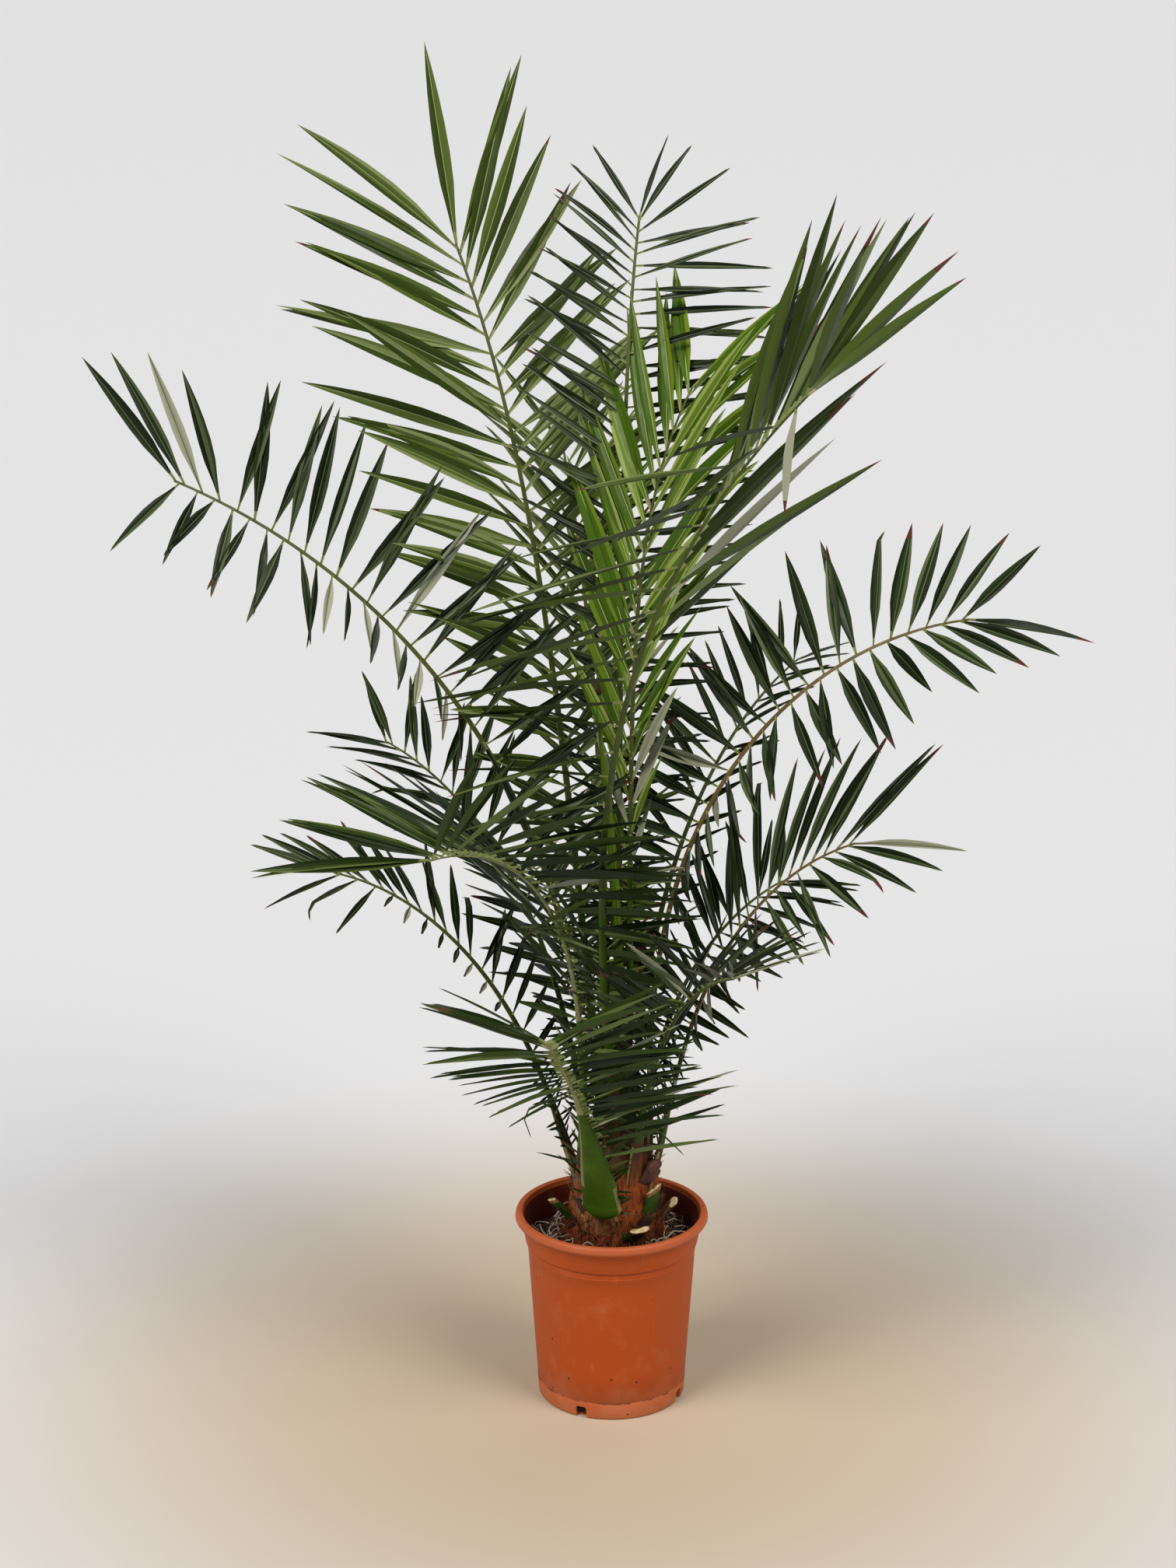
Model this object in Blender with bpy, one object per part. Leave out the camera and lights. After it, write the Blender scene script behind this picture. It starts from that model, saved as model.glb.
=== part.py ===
"""A young Canary Island date palm in its round plastic nursery pot.

Metres, +Z up. The origin is the middle of the pot's flat underside. The pot holds a plug of
soil, and the squat trunk stands on the soil. Each frond is a curved stalk and a blade: a
tapering midrib with long folded leaflets fused along both its sides.
"""

import math
import random
from collections import namedtuple

import bmesh
import bpy
from mathutils import Vector
from mathutils.bvhtree import BVHTree

# Driving dimensions, in metres.
CLEAR = 0.0003  # between pieces that touch on the real plant
ROUND_STEPS = 32

POT_RIM_RADIUS = 0.120
POT_HEIGHT = 0.243
POT_LIP_HEIGHT = 0.011
POT_LIP_INNER_RADIUS = 0.1105
POT_TOP_RADIUS = 0.1078  # of the body, just under the lip
POT_BASE_RADIUS = 0.0916
POT_WALL = 0.0025
POT_FLOOR = 0.003
COLLAR_FOOT_HEIGHT = 0.204
COLLAR_STEP = 0.0012
BASE_BAND_HEIGHT = 0.022
BASE_BAND_STEP = 0.0008
NOTCH_WIDTH = 0.014
NOTCH_HEIGHT = 0.015
NOTCH_DEPTH = 0.012
NOTCH_ANGLES = (246, 336, 66, 156)  # degrees from +X towards +Y

SOIL_TOP = 0.205
SOIL_SLACK = 0.0004  # between the soil's edge and the pot

TRUNK_CENTRE = (0.002, 0.0)
TRUNK_LEAN = 0.035  # sideways travel towards +X for each metre of height
# (height above the soil, radius): flare, swollen foot, then the taper of sheathing leaf bases
TRUNK_TAPER = (
    (0.000, 0.063),
    (0.012, 0.057),
    (0.045, 0.0535),
    (0.080, 0.0495),
    (0.110, 0.043),
    (0.145, 0.033),
    (0.185, 0.022),
    (0.225, 0.013),
    (0.250, 0.007),
)
TRUNK_STEPS = 20

STALK_RINGS = 6
STALK_SLIM_WIDTH = 0.0115  # of a metre-long frond's stalk, just past its clasping foot
STALK_SHORT_SHARE = 0.72  # of that width, on the shortest frond
STALK_NARROWS_IN = 0.13  # the clasping foot's broad width is gone this far up
STALK_ROUNDS_IN = 0.10  # the foot is flat, and the stalk is nearly round this far up
STALK_FLATNESS = (0.45, 0.85)  # depth over width, at the foot and past it
RIB_TIP_WIDTH = 0.003
FOOT_DROP = 0.035  # the foot runs on this far below where the stalk starts
FOOT_SINK = 0.010  # and this far in towards the trunk
FOOT_SPREAD = 1.05

SPEAR_LENGTH = 0.46
SPEAR_WIDTH = 0.013
SPEAR_SINK = 0.02
SPEAR_LEAN = (-0.03, 0.01)
# (share of its length, share of its width)
SPEAR_TAPER = ((0, 0.55), (0.12, 0.9), (0.45, 1.0), (0.8, 0.7), (1, 0.2))

STUB_FLATNESS = 0.5
STUB_SLANT = 0.002
# (share of its length, share of its width); below 0 it clasps the trunk
STUB_TAPER = ((-0.6, 1.15), (0, 1.1), (0.5, 0.95), (1, 0.8))

LEAFLET_WIDEST_AT = 0.40
LEAFLET_ROOT_WIDTH = 0.0045
LEAFLET_ROOT_DEPTH = 0.002
LEAFLET_ROOT_SINK = 0.0005
LEAFLET_SLIMNESS = 11.0  # length over width
LEAFLET_LEAST_WIDTH = 0.008
LEAFLET_DEPTH_SHARE = 0.0125  # depth of the fold over the leaflet's length
LEAFLET_CLEAR = 0.0006
FIRST_LEAFLET_SHARE = 0.26  # length of the lowest leaflets over the longest
TIP_LEAFLET_SHARE = 0.92
END_LEAFLET_ANGLE = 17  # the single one past the last pair leans to the right
END_LEAFLET_SHARE = 0.998
TIP_CROWDING = 0.85  # below 1, leaflets stand closer together towards the tip
PAIR_SHIFTS = ((1, 0.65), (-1, 0.40))  # (left 1 or right -1, how far through its step it stands)
LENGTH_RISE = 0.75  # below 1, lengths grow fast above the lowest leaflet and then slowly
ANGLE_RISE = 2.2  # above 1, leaflets only close up towards the midrib near the tip
SAG = 0.07  # how far a leaflet's own weight pulls it down, over its length
JITTER_ANGLE = 3.5
JITTER_LIFT = 6.0
SEED = 20

DARK_GREEN = (0.035, 0.070, 0.022)
MID_GREEN = (0.070, 0.125, 0.030)
BRIGHT_GREEN = (0.150, 0.260, 0.040)
STALK_GREEN = (0.105, 0.165, 0.035)
TERRACOTTA = (0.480, 0.115, 0.030)
SOIL_BROWN = (0.028, 0.018, 0.012)
FIBRE_BROWN = (0.240, 0.090, 0.028)
STUB_CREAM = (0.620, 0.520, 0.300)

# foot: angle round the trunk, radius, height. heading and sweep: the compass angle at the foot
# and how far it turns by the tip. lean and droop: tilt from upright at foot and tip. bend: a
# high value keeps the arch for the tip. bare: share of the length with no leaflets. width: of
# the stalk at its clasping foot. leaflet: length of the longest. swell: share of the blade at
# which leaflets reach that length. pairs: leaflets on each side. angles: between midrib and
# leaflet, for the lowest and the last. lift: how far they rise out of the blade's plane. roll:
# twist of that plane, which raises the left side. parts: pieces that the blade is split into
# where it arches over.
Frond = namedtuple(
    "Frond",
    "name foot heading sweep lean droop bend length bare width"
    " leaflet swell pairs angles lift roll green parts",
)
FRONDS = (
    Frond("upper_left", (170, 0.024, 0.400), 131, -1, 9, 37, 3.0, 1.094, 0.20, 0.018,
          0.285, 0.66, 18, (70, 36), 12, -10, MID_GREEN, 1),
    Frond("long_left", (194, 0.040, 0.325), 190, -8, -1, 67, 1.20, 1.030, 0.22, 0.024,
          0.190, 0.50, 17, (86, 42), 28, -44, MID_GREEN, 2),
    Frond("long_right", (0, 0.040, 0.320), -6, 2, -1, 83, 1.75, 0.855, 0.24, 0.024,
          0.180, 0.50, 14, (86, 42), 28, 44, DARK_GREEN, 2),
    Frond("upper_right", (-100, 0.025, 0.390), -116, 98, 14, 44, 1.80, 1.030, 0.22, 0.018,
          0.285, 0.66, 17, (84, 18), 10, -25, MID_GREEN, 1),
    Frond("young_centre", (20, 0.012, 0.430), 44, -5, 0, 37, 4.50, 0.846, 0.28, 0.012,
          0.245, 0.66, 12, (46, 22), 6, 0, BRIGHT_GREEN, 1),
    Frond("top_back", (95, 0.022, 0.405), 88, -6, 2, 47, 3.50, 1.080, 0.24, 0.018,
          0.200, 0.60, 15, (72, 40), 8, 0, DARK_GREEN, 1),
    Frond("front_left", (-142, 0.048, 0.285), -111, -40, 2, 102, 2.80, 0.588, 0.28, 0.026,
          0.225, 0.40, 11, (86, 36), 8, 0, MID_GREEN, 2),
    Frond("bottom_front", (-102, 0.056, 0.235), -114, 5, 7, 49, 0.75, 0.377, 0.28, 0.046,
          0.180, 0.25, 9, (76, 42), 14, 0, MID_GREEN, 1),
    Frond("low_right", (-25, 0.048, 0.285), -8, -1, 11, 71, 2.40, 0.536, 0.28, 0.026,
          0.190, 0.45, 11, (78, 30), 22, 40, DARK_GREEN, 1),
    Frond("low_left", (165, 0.048, 0.280), 165, -1, 18, 85, 1.90, 0.515, 0.30, 0.026,
          0.165, 0.40, 9, (74, 38), 20, -34, DARK_GREEN, 1),
    Frond("side_right", (38, 0.046, 0.295), 30, 3, 1, 75, 1.40, 0.419, 0.30, 0.024,
          0.165, 0.35, 8, (74, 36), 18, 30, DARK_GREEN, 1),
    Frond("high_back", (108, 0.036, 0.335), 98, 4, 3, 52, 1.50, 0.900, 0.26, 0.022,
          0.200, 0.55, 12, (72, 38), 14, 0, MID_GREEN, 1),
    Frond("back_left", (136, 0.046, 0.300), 138, 6, 10, 76, 1.60, 0.620, 0.28, 0.024,
          0.170, 0.45, 9, (74, 38), 14, -10, DARK_GREEN, 1),
    Frond("back_right", (66, 0.040, 0.325), 52, -4, 6, 72, 1.60, 0.680, 0.26, 0.022,
          0.175, 0.45, 10, (74, 38), 14, 10, DARK_GREEN, 1),
    Frond("low_back", (98, 0.050, 0.275), 104, 6, 22, 92, 1.50, 0.480, 0.32, 0.026,
          0.165, 0.35, 8, (74, 38), 14, 0, DARK_GREEN, 1),
    Frond("front_right", (-62, 0.046, 0.300), -52, -6, 8, 72, 1.60, 0.400, 0.32, 0.024,
          0.145, 0.35, 7, (74, 38), 14, 0, DARK_GREEN, 1),
)

# Stumps of cut fronds round the foot. angle, radius and height place the foot of each.
Stub = namedtuple("Stub", "name angle radius height lean length width")
STUBS = (
    Stub("stub_left", 196, 0.052, 0.232, 48, 0.036, 0.024),
    Stub("stub_right", -38, 0.050, 0.236, 14, 0.040, 0.026),
    Stub("stub_far_right", 8, 0.054, 0.226, 42, 0.030, 0.020),
    Stub("stub_front", -66, 0.054, 0.222, 55, 0.028, 0.022),
    Stub("stub_back", 118, 0.053, 0.228, 40, 0.034, 0.024),
)


def material(name, colour, roughness):
    made = bpy.data.materials.new(name)
    made.use_nodes = True
    shader = made.node_tree.nodes["Principled BSDF"]
    shader.inputs["Base Color"].default_value = (*colour, 1)
    shader.inputs["Roughness"].default_value = roughness
    shader.inputs["Metallic"].default_value = 0
    return made


def mesh_object(name, points, faces):
    mesh = bpy.data.meshes.new(name)
    mesh.from_pydata([tuple(point) for point in points], [], faces)
    made = bpy.data.objects.new(name, mesh)
    bpy.context.scene.collection.objects.link(made)
    return made


def compass(angle):
    return Vector((math.cos(math.radians(angle)), math.sin(math.radians(angle)), 0))


def smooth(value):
    value = min(1, max(0, value))
    return value * value * (3 - 2 * value)


def mix(start, end, share):
    return start + (end - start) * share


# Turned pieces ---------------------------------------------------------------------------


def turned(name, profile, steps):
    """A closed profile of (radius, height), first and last points on the axis, spun once round +Z."""
    shape = bmesh.new()
    corners = [shape.verts.new((radius, 0, height)) for radius, height in profile]
    edges = [shape.edges.new(pair) for pair in zip(corners, corners[1:])]
    bmesh.ops.spin(
        shape, geom=corners + edges, cent=(0, 0, 0), axis=(0, 0, 1), angle=math.tau,
        steps=steps, use_merge=True,
    )
    bmesh.ops.remove_doubles(shape, verts=shape.verts, dist=0.00001)
    bmesh.ops.recalc_face_normals(shape, faces=shape.faces)
    mesh = bpy.data.meshes.new(name)
    shape.to_mesh(mesh)
    shape.free()
    made = bpy.data.objects.new(name, mesh)
    bpy.context.scene.collection.objects.link(made)
    return made


def wall_radius(height):
    """The pot's outer radius on its straight taper."""
    return mix(POT_BASE_RADIUS, POT_TOP_RADIUS, height / (POT_HEIGHT - POT_LIP_HEIGHT))


def make_pot():
    lip_foot = POT_HEIGHT - POT_LIP_HEIGHT
    lip_round = 0.004
    chamfer = 0.002
    overlap = 0.002  # of a notch's cutter below the pot
    profile = (
        (0, 0),
        (POT_BASE_RADIUS - chamfer, 0),
        (POT_BASE_RADIUS, chamfer),
        (wall_radius(BASE_BAND_HEIGHT), BASE_BAND_HEIGHT),
        (wall_radius(BASE_BAND_HEIGHT) - BASE_BAND_STEP, BASE_BAND_HEIGHT + 0.001),
        (wall_radius(COLLAR_FOOT_HEIGHT) - COLLAR_STEP, COLLAR_FOOT_HEIGHT - 0.001),
        (wall_radius(COLLAR_FOOT_HEIGHT) + COLLAR_STEP, COLLAR_FOOT_HEIGHT),
        (POT_TOP_RADIUS + 0.003, lip_foot - 0.006),
        (POT_RIM_RADIUS - lip_round, lip_foot),
        (POT_RIM_RADIUS, lip_foot + lip_round),
        (POT_RIM_RADIUS - 0.001, POT_HEIGHT - lip_round),
        (POT_RIM_RADIUS - lip_round, POT_HEIGHT),
        (POT_LIP_INNER_RADIUS + 0.001, POT_HEIGHT - 0.001),
        (POT_LIP_INNER_RADIUS, POT_HEIGHT - lip_round),
        (POT_TOP_RADIUS - POT_WALL, lip_foot - 0.004),
        (POT_BASE_RADIUS - POT_WALL, POT_FLOOR),
        (0, POT_FLOOR),
    )
    pot = turned("pot", profile, ROUND_STEPS)
    for number, angle in enumerate(NOTCH_ANGLES):
        cutter = block(f"notch_{number}", NOTCH_DEPTH, NOTCH_WIDTH, NOTCH_HEIGHT + overlap)
        cutter.location = compass(angle) * POT_BASE_RADIUS
        cutter.location.z = (NOTCH_HEIGHT - overlap) / 2
        cutter.rotation_euler.z = math.radians(angle)
        cutter.hide_render = True
        cutter.display_type = "WIRE"
        notch = pot.modifiers.new(f"notch_{number}", "BOOLEAN")
        notch.operation = "DIFFERENCE"
        notch.object = cutter
    pot.data.materials.append(material("pot_plastic", TERRACOTTA, 0.55))
    pot.data.shade_smooth()
    pot.data.set_sharp_from_angle(angle=math.radians(35))
    return pot


def block(name, length, width, height):
    shape = bmesh.new()
    bmesh.ops.create_cube(shape, size=1)
    bmesh.ops.scale(shape, verts=shape.verts, vec=(length, width, height))
    mesh = bpy.data.meshes.new(name)
    shape.to_mesh(mesh)
    shape.free()
    made = bpy.data.objects.new(name, mesh)
    bpy.context.scene.collection.objects.link(made)
    return made


def make_soil():
    floor = POT_FLOOR + CLEAR
    inner_foot = POT_BASE_RADIUS - POT_WALL
    inner_height = POT_HEIGHT - POT_LIP_HEIGHT - 0.004
    inner_top = mix(inner_foot, POT_TOP_RADIUS - POT_WALL, SOIL_TOP / inner_height)
    profile = (
        (0, floor),
        (inner_foot - SOIL_SLACK - 0.001, floor),
        (inner_top - SOIL_SLACK - 0.0008, SOIL_TOP - 0.001),
        (inner_top - 0.004, SOIL_TOP),
        (0, SOIL_TOP),
    )
    soil = turned("soil", profile, ROUND_STEPS)
    soil.data.materials.append(material("potting_soil", SOIL_BROWN, 1.0))
    return soil


def trunk_profile(margin):
    foot = SOIL_TOP + CLEAR
    rings = [(radius + margin, foot + height) for height, radius in TRUNK_TAPER]
    top = rings[-1][1] + margin
    return [(0, foot - margin), (rings[0][0], foot - margin), *rings[1:], (0, top)]


def trunk_object(name, margin):
    """The trunk, or a copy of it that is larger by margin all round; its lean is in the mesh."""
    trunk = turned(name, trunk_profile(margin), TRUNK_STEPS)
    for vertex in trunk.data.vertices:
        vertex.co.x += TRUNK_CENTRE[0] + TRUNK_LEAN * (vertex.co.z - SOIL_TOP)
        vertex.co.y += TRUNK_CENTRE[1]
    return trunk


def trunk_axis(height):
    return Vector((TRUNK_CENTRE[0] + TRUNK_LEAN * (height - SOIL_TOP), TRUNK_CENTRE[1], height))


# Curved limbs ----------------------------------------------------------------------------

Station = namedtuple("Station", "point along side up")


def frond_line(frond, count=60):
    """Stations at equal steps from foot to tip of the frond's arching midrib."""
    step = frond.length / (count - 1)
    angle, radius, height = frond.foot
    point = trunk_axis(height) + compass(angle) * radius
    stations = []
    for index in range(count):
        share = index / (count - 1)
        tilt = math.radians(mix(frond.lean, frond.droop, share**frond.bend))
        out = compass(frond.heading + frond.sweep * share)
        left = Vector((0, 0, 1)).cross(out)
        along = out * math.sin(tilt) + Vector((0, 0, math.cos(tilt)))
        up = Vector((0, 0, math.sin(tilt))) - out * math.cos(tilt)
        turn = math.radians(frond.roll * smooth(share * 2))
        side = left * math.cos(turn) + up * math.sin(turn)
        stations.append(Station(point.copy(), along, side, side.cross(along) * -1))
        point += along * step
    return stations


def station_at(line, share):
    place = share * (len(line) - 1)
    index = min(int(place), len(line) - 2)
    rest = place - index
    first, second = line[index], line[index + 1]
    return Station(*(a.lerp(b, rest) for a, b in zip(first, second)))


def limb(name, stations, widths, depths, outline):
    """A closed tapering tube through the stations, its section an outline of (side, up) corners."""
    points, faces = [], []
    sides = len(outline)
    for station, width, depth in zip(stations, widths, depths):
        for across, height in outline:
            aside = station.side * across * width / 2
            points.append(station.point + aside + station.up * height * depth / 2)
    for ring in range(len(stations) - 1):
        for corner in range(sides):
            nearby = (corner + 1) % sides
            low, high = ring * sides, (ring + 1) * sides
            faces.append((low + corner, low + nearby, high + nearby, high + corner))
    faces.append(tuple(reversed(range(sides))))
    last = (len(stations) - 1) * sides
    faces.append(tuple(range(last, last + sides)))
    return mesh_object(name, points, faces)


STALK_OUTLINE = ((1, 0.1), (0.5, 0.8), (-0.5, 0.8), (-1, 0.1), (-0.6, -0.9), (0.6, -0.9))
RIB_OUTLINE = ((1, 0.2), (0, 0.9), (-1, 0.2), (0, -1))


def stalk_width(frond, share):
    """Width of the stalk: a broad clasping foot that narrows fast, then a slow taper to the tip."""
    slim = mix(STALK_SLIM_WIDTH, RIB_TIP_WIDTH, share**0.9) * mix(STALK_SHORT_SHARE, 1, frond.length)
    clasp = frond.width - STALK_SLIM_WIDTH
    return slim + clasp * (1 - smooth(share * frond.length / STALK_NARROWS_IN))


def stalk_depth(frond, share):
    rounding = smooth(share * frond.length / STALK_ROUNDS_IN)
    return stalk_width(frond, share) * mix(*STALK_FLATNESS, rounding)


def make_stalk(frond, line, margin):
    """The bare lower stalk. Its foot runs down beside the trunk and ends buried in it."""
    shares = [frond.bare * index / (STALK_RINGS - 1) for index in range(STALK_RINGS)]
    shares[-1] = frond.bare - CLEAR / frond.length
    stations = [station_at(line, share) for share in shares]
    widths = [stalk_width(frond, share) + 2 * margin for share in shares]
    depths = [stalk_depth(frond, share) + 2 * margin for share in shares]
    first = stations[0]
    inward = trunk_axis(first.point.z - FOOT_DROP) - first.point
    inward.z = 0
    foot = first.point - Vector((0, 0, FOOT_DROP)) + inward.normalized() * FOOT_SINK
    stations.insert(0, Station(foot, first.along, first.side, first.up))
    widths.insert(0, widths[0] * FOOT_SPREAD)
    depths.insert(0, depths[0])
    return limb(f"frond_{frond.name}_stalk", stations, widths, depths, STALK_OUTLINE)


def make_stub(stub, margin):
    """The stump of a cut frond: short, broad and flat, with a slanting cut face."""
    out = compass(stub.angle)
    left = Vector((0, 0, 1)).cross(out)
    tilt = math.radians(stub.lean)
    along = out * math.sin(tilt) + Vector((0, 0, math.cos(tilt)))
    up = Vector((0, 0, math.sin(tilt))) - out * math.cos(tilt)
    foot = trunk_axis(stub.height) + out * stub.radius
    stations, widths, depths = [], [], []
    for share, slim in STUB_TAPER:
        slant = up * STUB_SLANT * (share == 1)
        stations.append(Station(foot + along * stub.length * share + slant, along, left, up))
        widths.append(stub.width * slim + 2 * margin)
        depths.append(stub.width * slim * STUB_FLATNESS + 2 * margin)
    return limb(stub.name, stations, widths, depths, STALK_OUTLINE)


# Leaflets --------------------------------------------------------------------------------


def leaflet_length(frond, share):
    rise = mix(FIRST_LEAFLET_SHARE, 1, min(1, share / frond.swell) ** LENGTH_RISE)
    fall = mix(1, TIP_LEAFLET_SHARE, smooth((share - 0.7) / 0.3))
    return frond.leaflet * rise * fall


def leaflet_points(station, direction, length, margin):
    """A folded leaflet: a flat-topped triangular section at its root and its widest, then a point."""
    across = station.along - direction * station.along.dot(direction)
    if across.length < 0.2:
        across = station.side - direction * station.side.dot(direction)
    across.normalize()
    keel = across.cross(direction)
    if keel.dot(station.up) > 0:
        keel = -keel
    width = max(length / LEAFLET_SLIMNESS, LEAFLET_LEAST_WIDTH) / 2 + margin
    depth = length * LEAFLET_DEPTH_SHARE + margin
    root_width = LEAFLET_ROOT_WIDTH / 2 + margin
    root = station.point - direction * LEAFLET_ROOT_SINK
    middle = station.point + direction * length * LEAFLET_WIDEST_AT
    return [
        root + across * root_width - keel * margin,
        root - across * root_width - keel * margin,
        root + keel * (LEAFLET_ROOT_DEPTH + margin),
        middle + across * width - keel * margin,
        middle - across * width - keel * margin,
        middle + keel * depth,
        station.point + direction * (length + margin),
    ]


LEAFLET_FACES = (
    (0, 1, 2), (0, 3, 4), (0, 4, 1), (1, 4, 5), (1, 5, 2),
    (2, 5, 3), (2, 3, 0), (3, 6, 4), (4, 6, 5), (5, 6, 3),
)


def facing_out(points, faces):
    """The faces, turned round if the closed shape they make is inside out."""
    volume = sum(points[a].dot(points[b].cross(points[c])) for a, b, c in faces)
    return [face[::-1] for face in faces] if volume < 0 else list(faces)


def leaflet_direction(station, hand, angle, lift):
    flat = station.side * hand * math.cos(lift) + station.up * math.sin(lift)
    direction = station.along * math.cos(angle) + flat * math.sin(angle)
    return (direction - Vector((0, 0, SAG))).normalized()


# Turns tried for a leaflet that would touch something: change of angle, of lift, share of length
TRIES = (
    (0, 0, 1), (0, 7, 1), (0, -7, 1), (6, 0, 1), (-6, 0, 1), (4, 13, 1), (-4, -13, 1),
    (0, 20, 0.95), (0, -20, 0.95), (10, 8, 0.9), (-10, 8, 0.9), (0, 0, 0.75), (6, 12, 0.7),
    (-6, -12, 0.7),
)


def boxed_tree(points, faces):
    """The lowest and highest corner of the points, and a tree of the faces."""
    low = [min(point[axis] for point in points) for axis in range(3)]
    high = [max(point[axis] for point in points) for axis in range(3)]
    return low, high, BVHTree.FromPolygons([tuple(point) for point in points], faces)


class Space:
    """What already stands, as trees of faces with their boxes, so that a leaflet can keep clear."""

    def __init__(self):
        self.taken = []

    def add(self, owner, points, faces):
        self.taken.append((owner, *boxed_tree(points, faces)))

    def add_object(self, owner, piece):
        points = [piece.matrix_world @ vertex.co for vertex in piece.data.vertices]
        self.add(owner, points, [tuple(face.vertices) for face in piece.data.polygons])

    def touches(self, owner, points, faces):
        low, high, tree = boxed_tree(points, faces)
        for other, other_low, other_high, other_tree in self.taken:
            if other == owner:
                continue
            if any(high[i] < other_low[i] or low[i] > other_high[i] for i in range(3)):
                continue
            if tree.overlap(other_tree):
                return True
        return False


def leaflet_places(frond):
    """(share of the midrib, hand) from the lowest leaflet up; the end one has hand 0."""
    for index in range(frond.pairs):
        for hand, shift in PAIR_SHIFTS:
            yield mix(frond.bare, 1, ((index + shift) / frond.pairs) ** TIP_CROWDING), hand
    yield END_LEAFLET_SHARE, 0


def place_leaflets(frond, part, line, start, end, space, chance):
    """Leaflets for the stretch from start to end of the midrib; the ones that fit are returned."""
    made = []
    owner = f"{frond.name}{part}"
    for share, hand in leaflet_places(frond):
        turn = chance.uniform(-JITTER_ANGLE, JITTER_ANGLE)
        raise_by = chance.uniform(-JITTER_LIFT, JITTER_LIFT)
        if not start + 0.004 <= share <= end - 0.001 * (end < 1):
            continue
        station = station_at(line, share)
        along_blade = (share - frond.bare) / (1 - frond.bare)
        angle = mix(*frond.angles, along_blade**ANGLE_RISE) + turn
        lift = frond.lift + raise_by
        length = leaflet_length(frond, along_blade) if hand else frond.leaflet
        for more_angle, more_lift, shorter in TRIES:
            turned_by = math.radians(angle + more_angle if hand else END_LEAFLET_ANGLE)
            raised_by = math.radians(lift + more_lift if hand else 0)
            direction = leaflet_direction(station, hand or -1, turned_by, raised_by)
            grown = leaflet_points(station, direction, length * shorter, LEAFLET_CLEAR)
            if space.touches(owner, grown, LEAFLET_FACES):
                continue
            space.add(owner, grown, LEAFLET_FACES)
            made.append(leaflet_points(station, direction, length * shorter, 0))
            break
    return made


def rib(frond, name, line, start, end):
    """The stretch of midrib that one blade's leaflets are fused to."""
    count = max(4, round(10 * (end - start)) + 2)
    shares = [mix(start, end, index / (count - 1)) for index in range(count)]
    stations = [station_at(line, share) for share in shares]
    widths = [stalk_width(frond, share) for share in shares]
    depths = [stalk_depth(frond, share) for share in shares]
    return limb(name, stations, widths, depths, RIB_OUTLINE)


def fuse(body, leaflets):
    """One Boolean union of the body with all its leaflets, applied, with the loose ones removed."""
    gathered = bpy.data.collections.new(f"{body.name}_leaflets")
    bpy.context.scene.collection.children.link(gathered)
    loose = []
    for points in leaflets:
        made = mesh_object("leaflet", points, facing_out(points, LEAFLET_FACES))
        bpy.context.scene.collection.objects.unlink(made)
        gathered.objects.link(made)
        loose.append(made)
    union = body.modifiers.new("leaflets", "BOOLEAN")
    union.operation = "UNION"
    union.solver = "MANIFOLD"
    union.operand_type = "COLLECTION"
    union.collection = gathered
    apply_modifiers(body)
    remove(loose)
    bpy.data.collections.remove(gathered)


def apply_modifiers(piece):
    graph = bpy.context.evaluated_depsgraph_get()
    solid = bpy.data.meshes.new_from_object(piece.evaluated_get(graph))
    piece.modifiers.clear()
    piece.data = solid
    solid.materials.clear()


def remove(pieces):
    for piece in pieces:
        mesh = piece.data
        bpy.data.objects.remove(piece)
        bpy.data.meshes.remove(mesh)


def cut_clear(piece, cutters):
    """Takes the cutters' volumes off the piece, and keeps the largest body that is left."""
    for number, cutter in enumerate(cutters):
        cut = piece.modifiers.new(f"clear_{number}", "BOOLEAN")
        cut.operation = "DIFFERENCE"
        cut.solver = "MANIFOLD"
        cut.object = cutter
    apply_modifiers(piece)
    keep_largest(piece)


def keep_largest(piece):
    shape = bmesh.new()
    shape.from_mesh(piece.data)
    left = set(shape.verts)
    bodies = []
    while left:
        body, front = set(), [left.pop()]
        while front:
            corner = front.pop()
            body.add(corner)
            near = [edge.other_vert(corner) for edge in corner.link_edges]
            front += [other for other in near if other in left]
            left.difference_update(near)
        bodies.append(body)
    bodies.sort(key=len, reverse=True)
    scraps = [corner for body in bodies[1:] for corner in body]
    bmesh.ops.delete(shape, geom=scraps, context="VERTS")
    shape.to_mesh(piece.data)
    shape.free()


# The plant -------------------------------------------------------------------------------


def overlapping(piece, others):
    tree = tree_of(piece)
    return [other for other in others if tree.overlap(tree_of(other))]


def tree_of(piece):
    return BVHTree.FromPolygons(
        [vertex.co.copy() for vertex in piece.data.vertices],
        [tuple(face.vertices) for face in piece.data.polygons],
    )


def make_spear(name, margin):
    """The unopened central frond, standing in the tip of the trunk."""
    foot = trunk_axis(SOIL_TOP + TRUNK_TAPER[-1][0] - SPEAR_SINK)
    forward, side, up = Vector((0, 0, 1)), Vector((1, 0, 0)), Vector((0, 1, 0))
    stations, widths = [], []
    for share, slim in SPEAR_TAPER:
        lean = Vector((*SPEAR_LEAN, 0)) * share**2
        stations.append(Station(foot + forward * SPEAR_LENGTH * share + lean, forward, side, up))
        widths.append(SPEAR_WIDTH * slim + 2 * margin)
    return limb(name, stations, widths, widths, STALK_OUTLINE)


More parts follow.
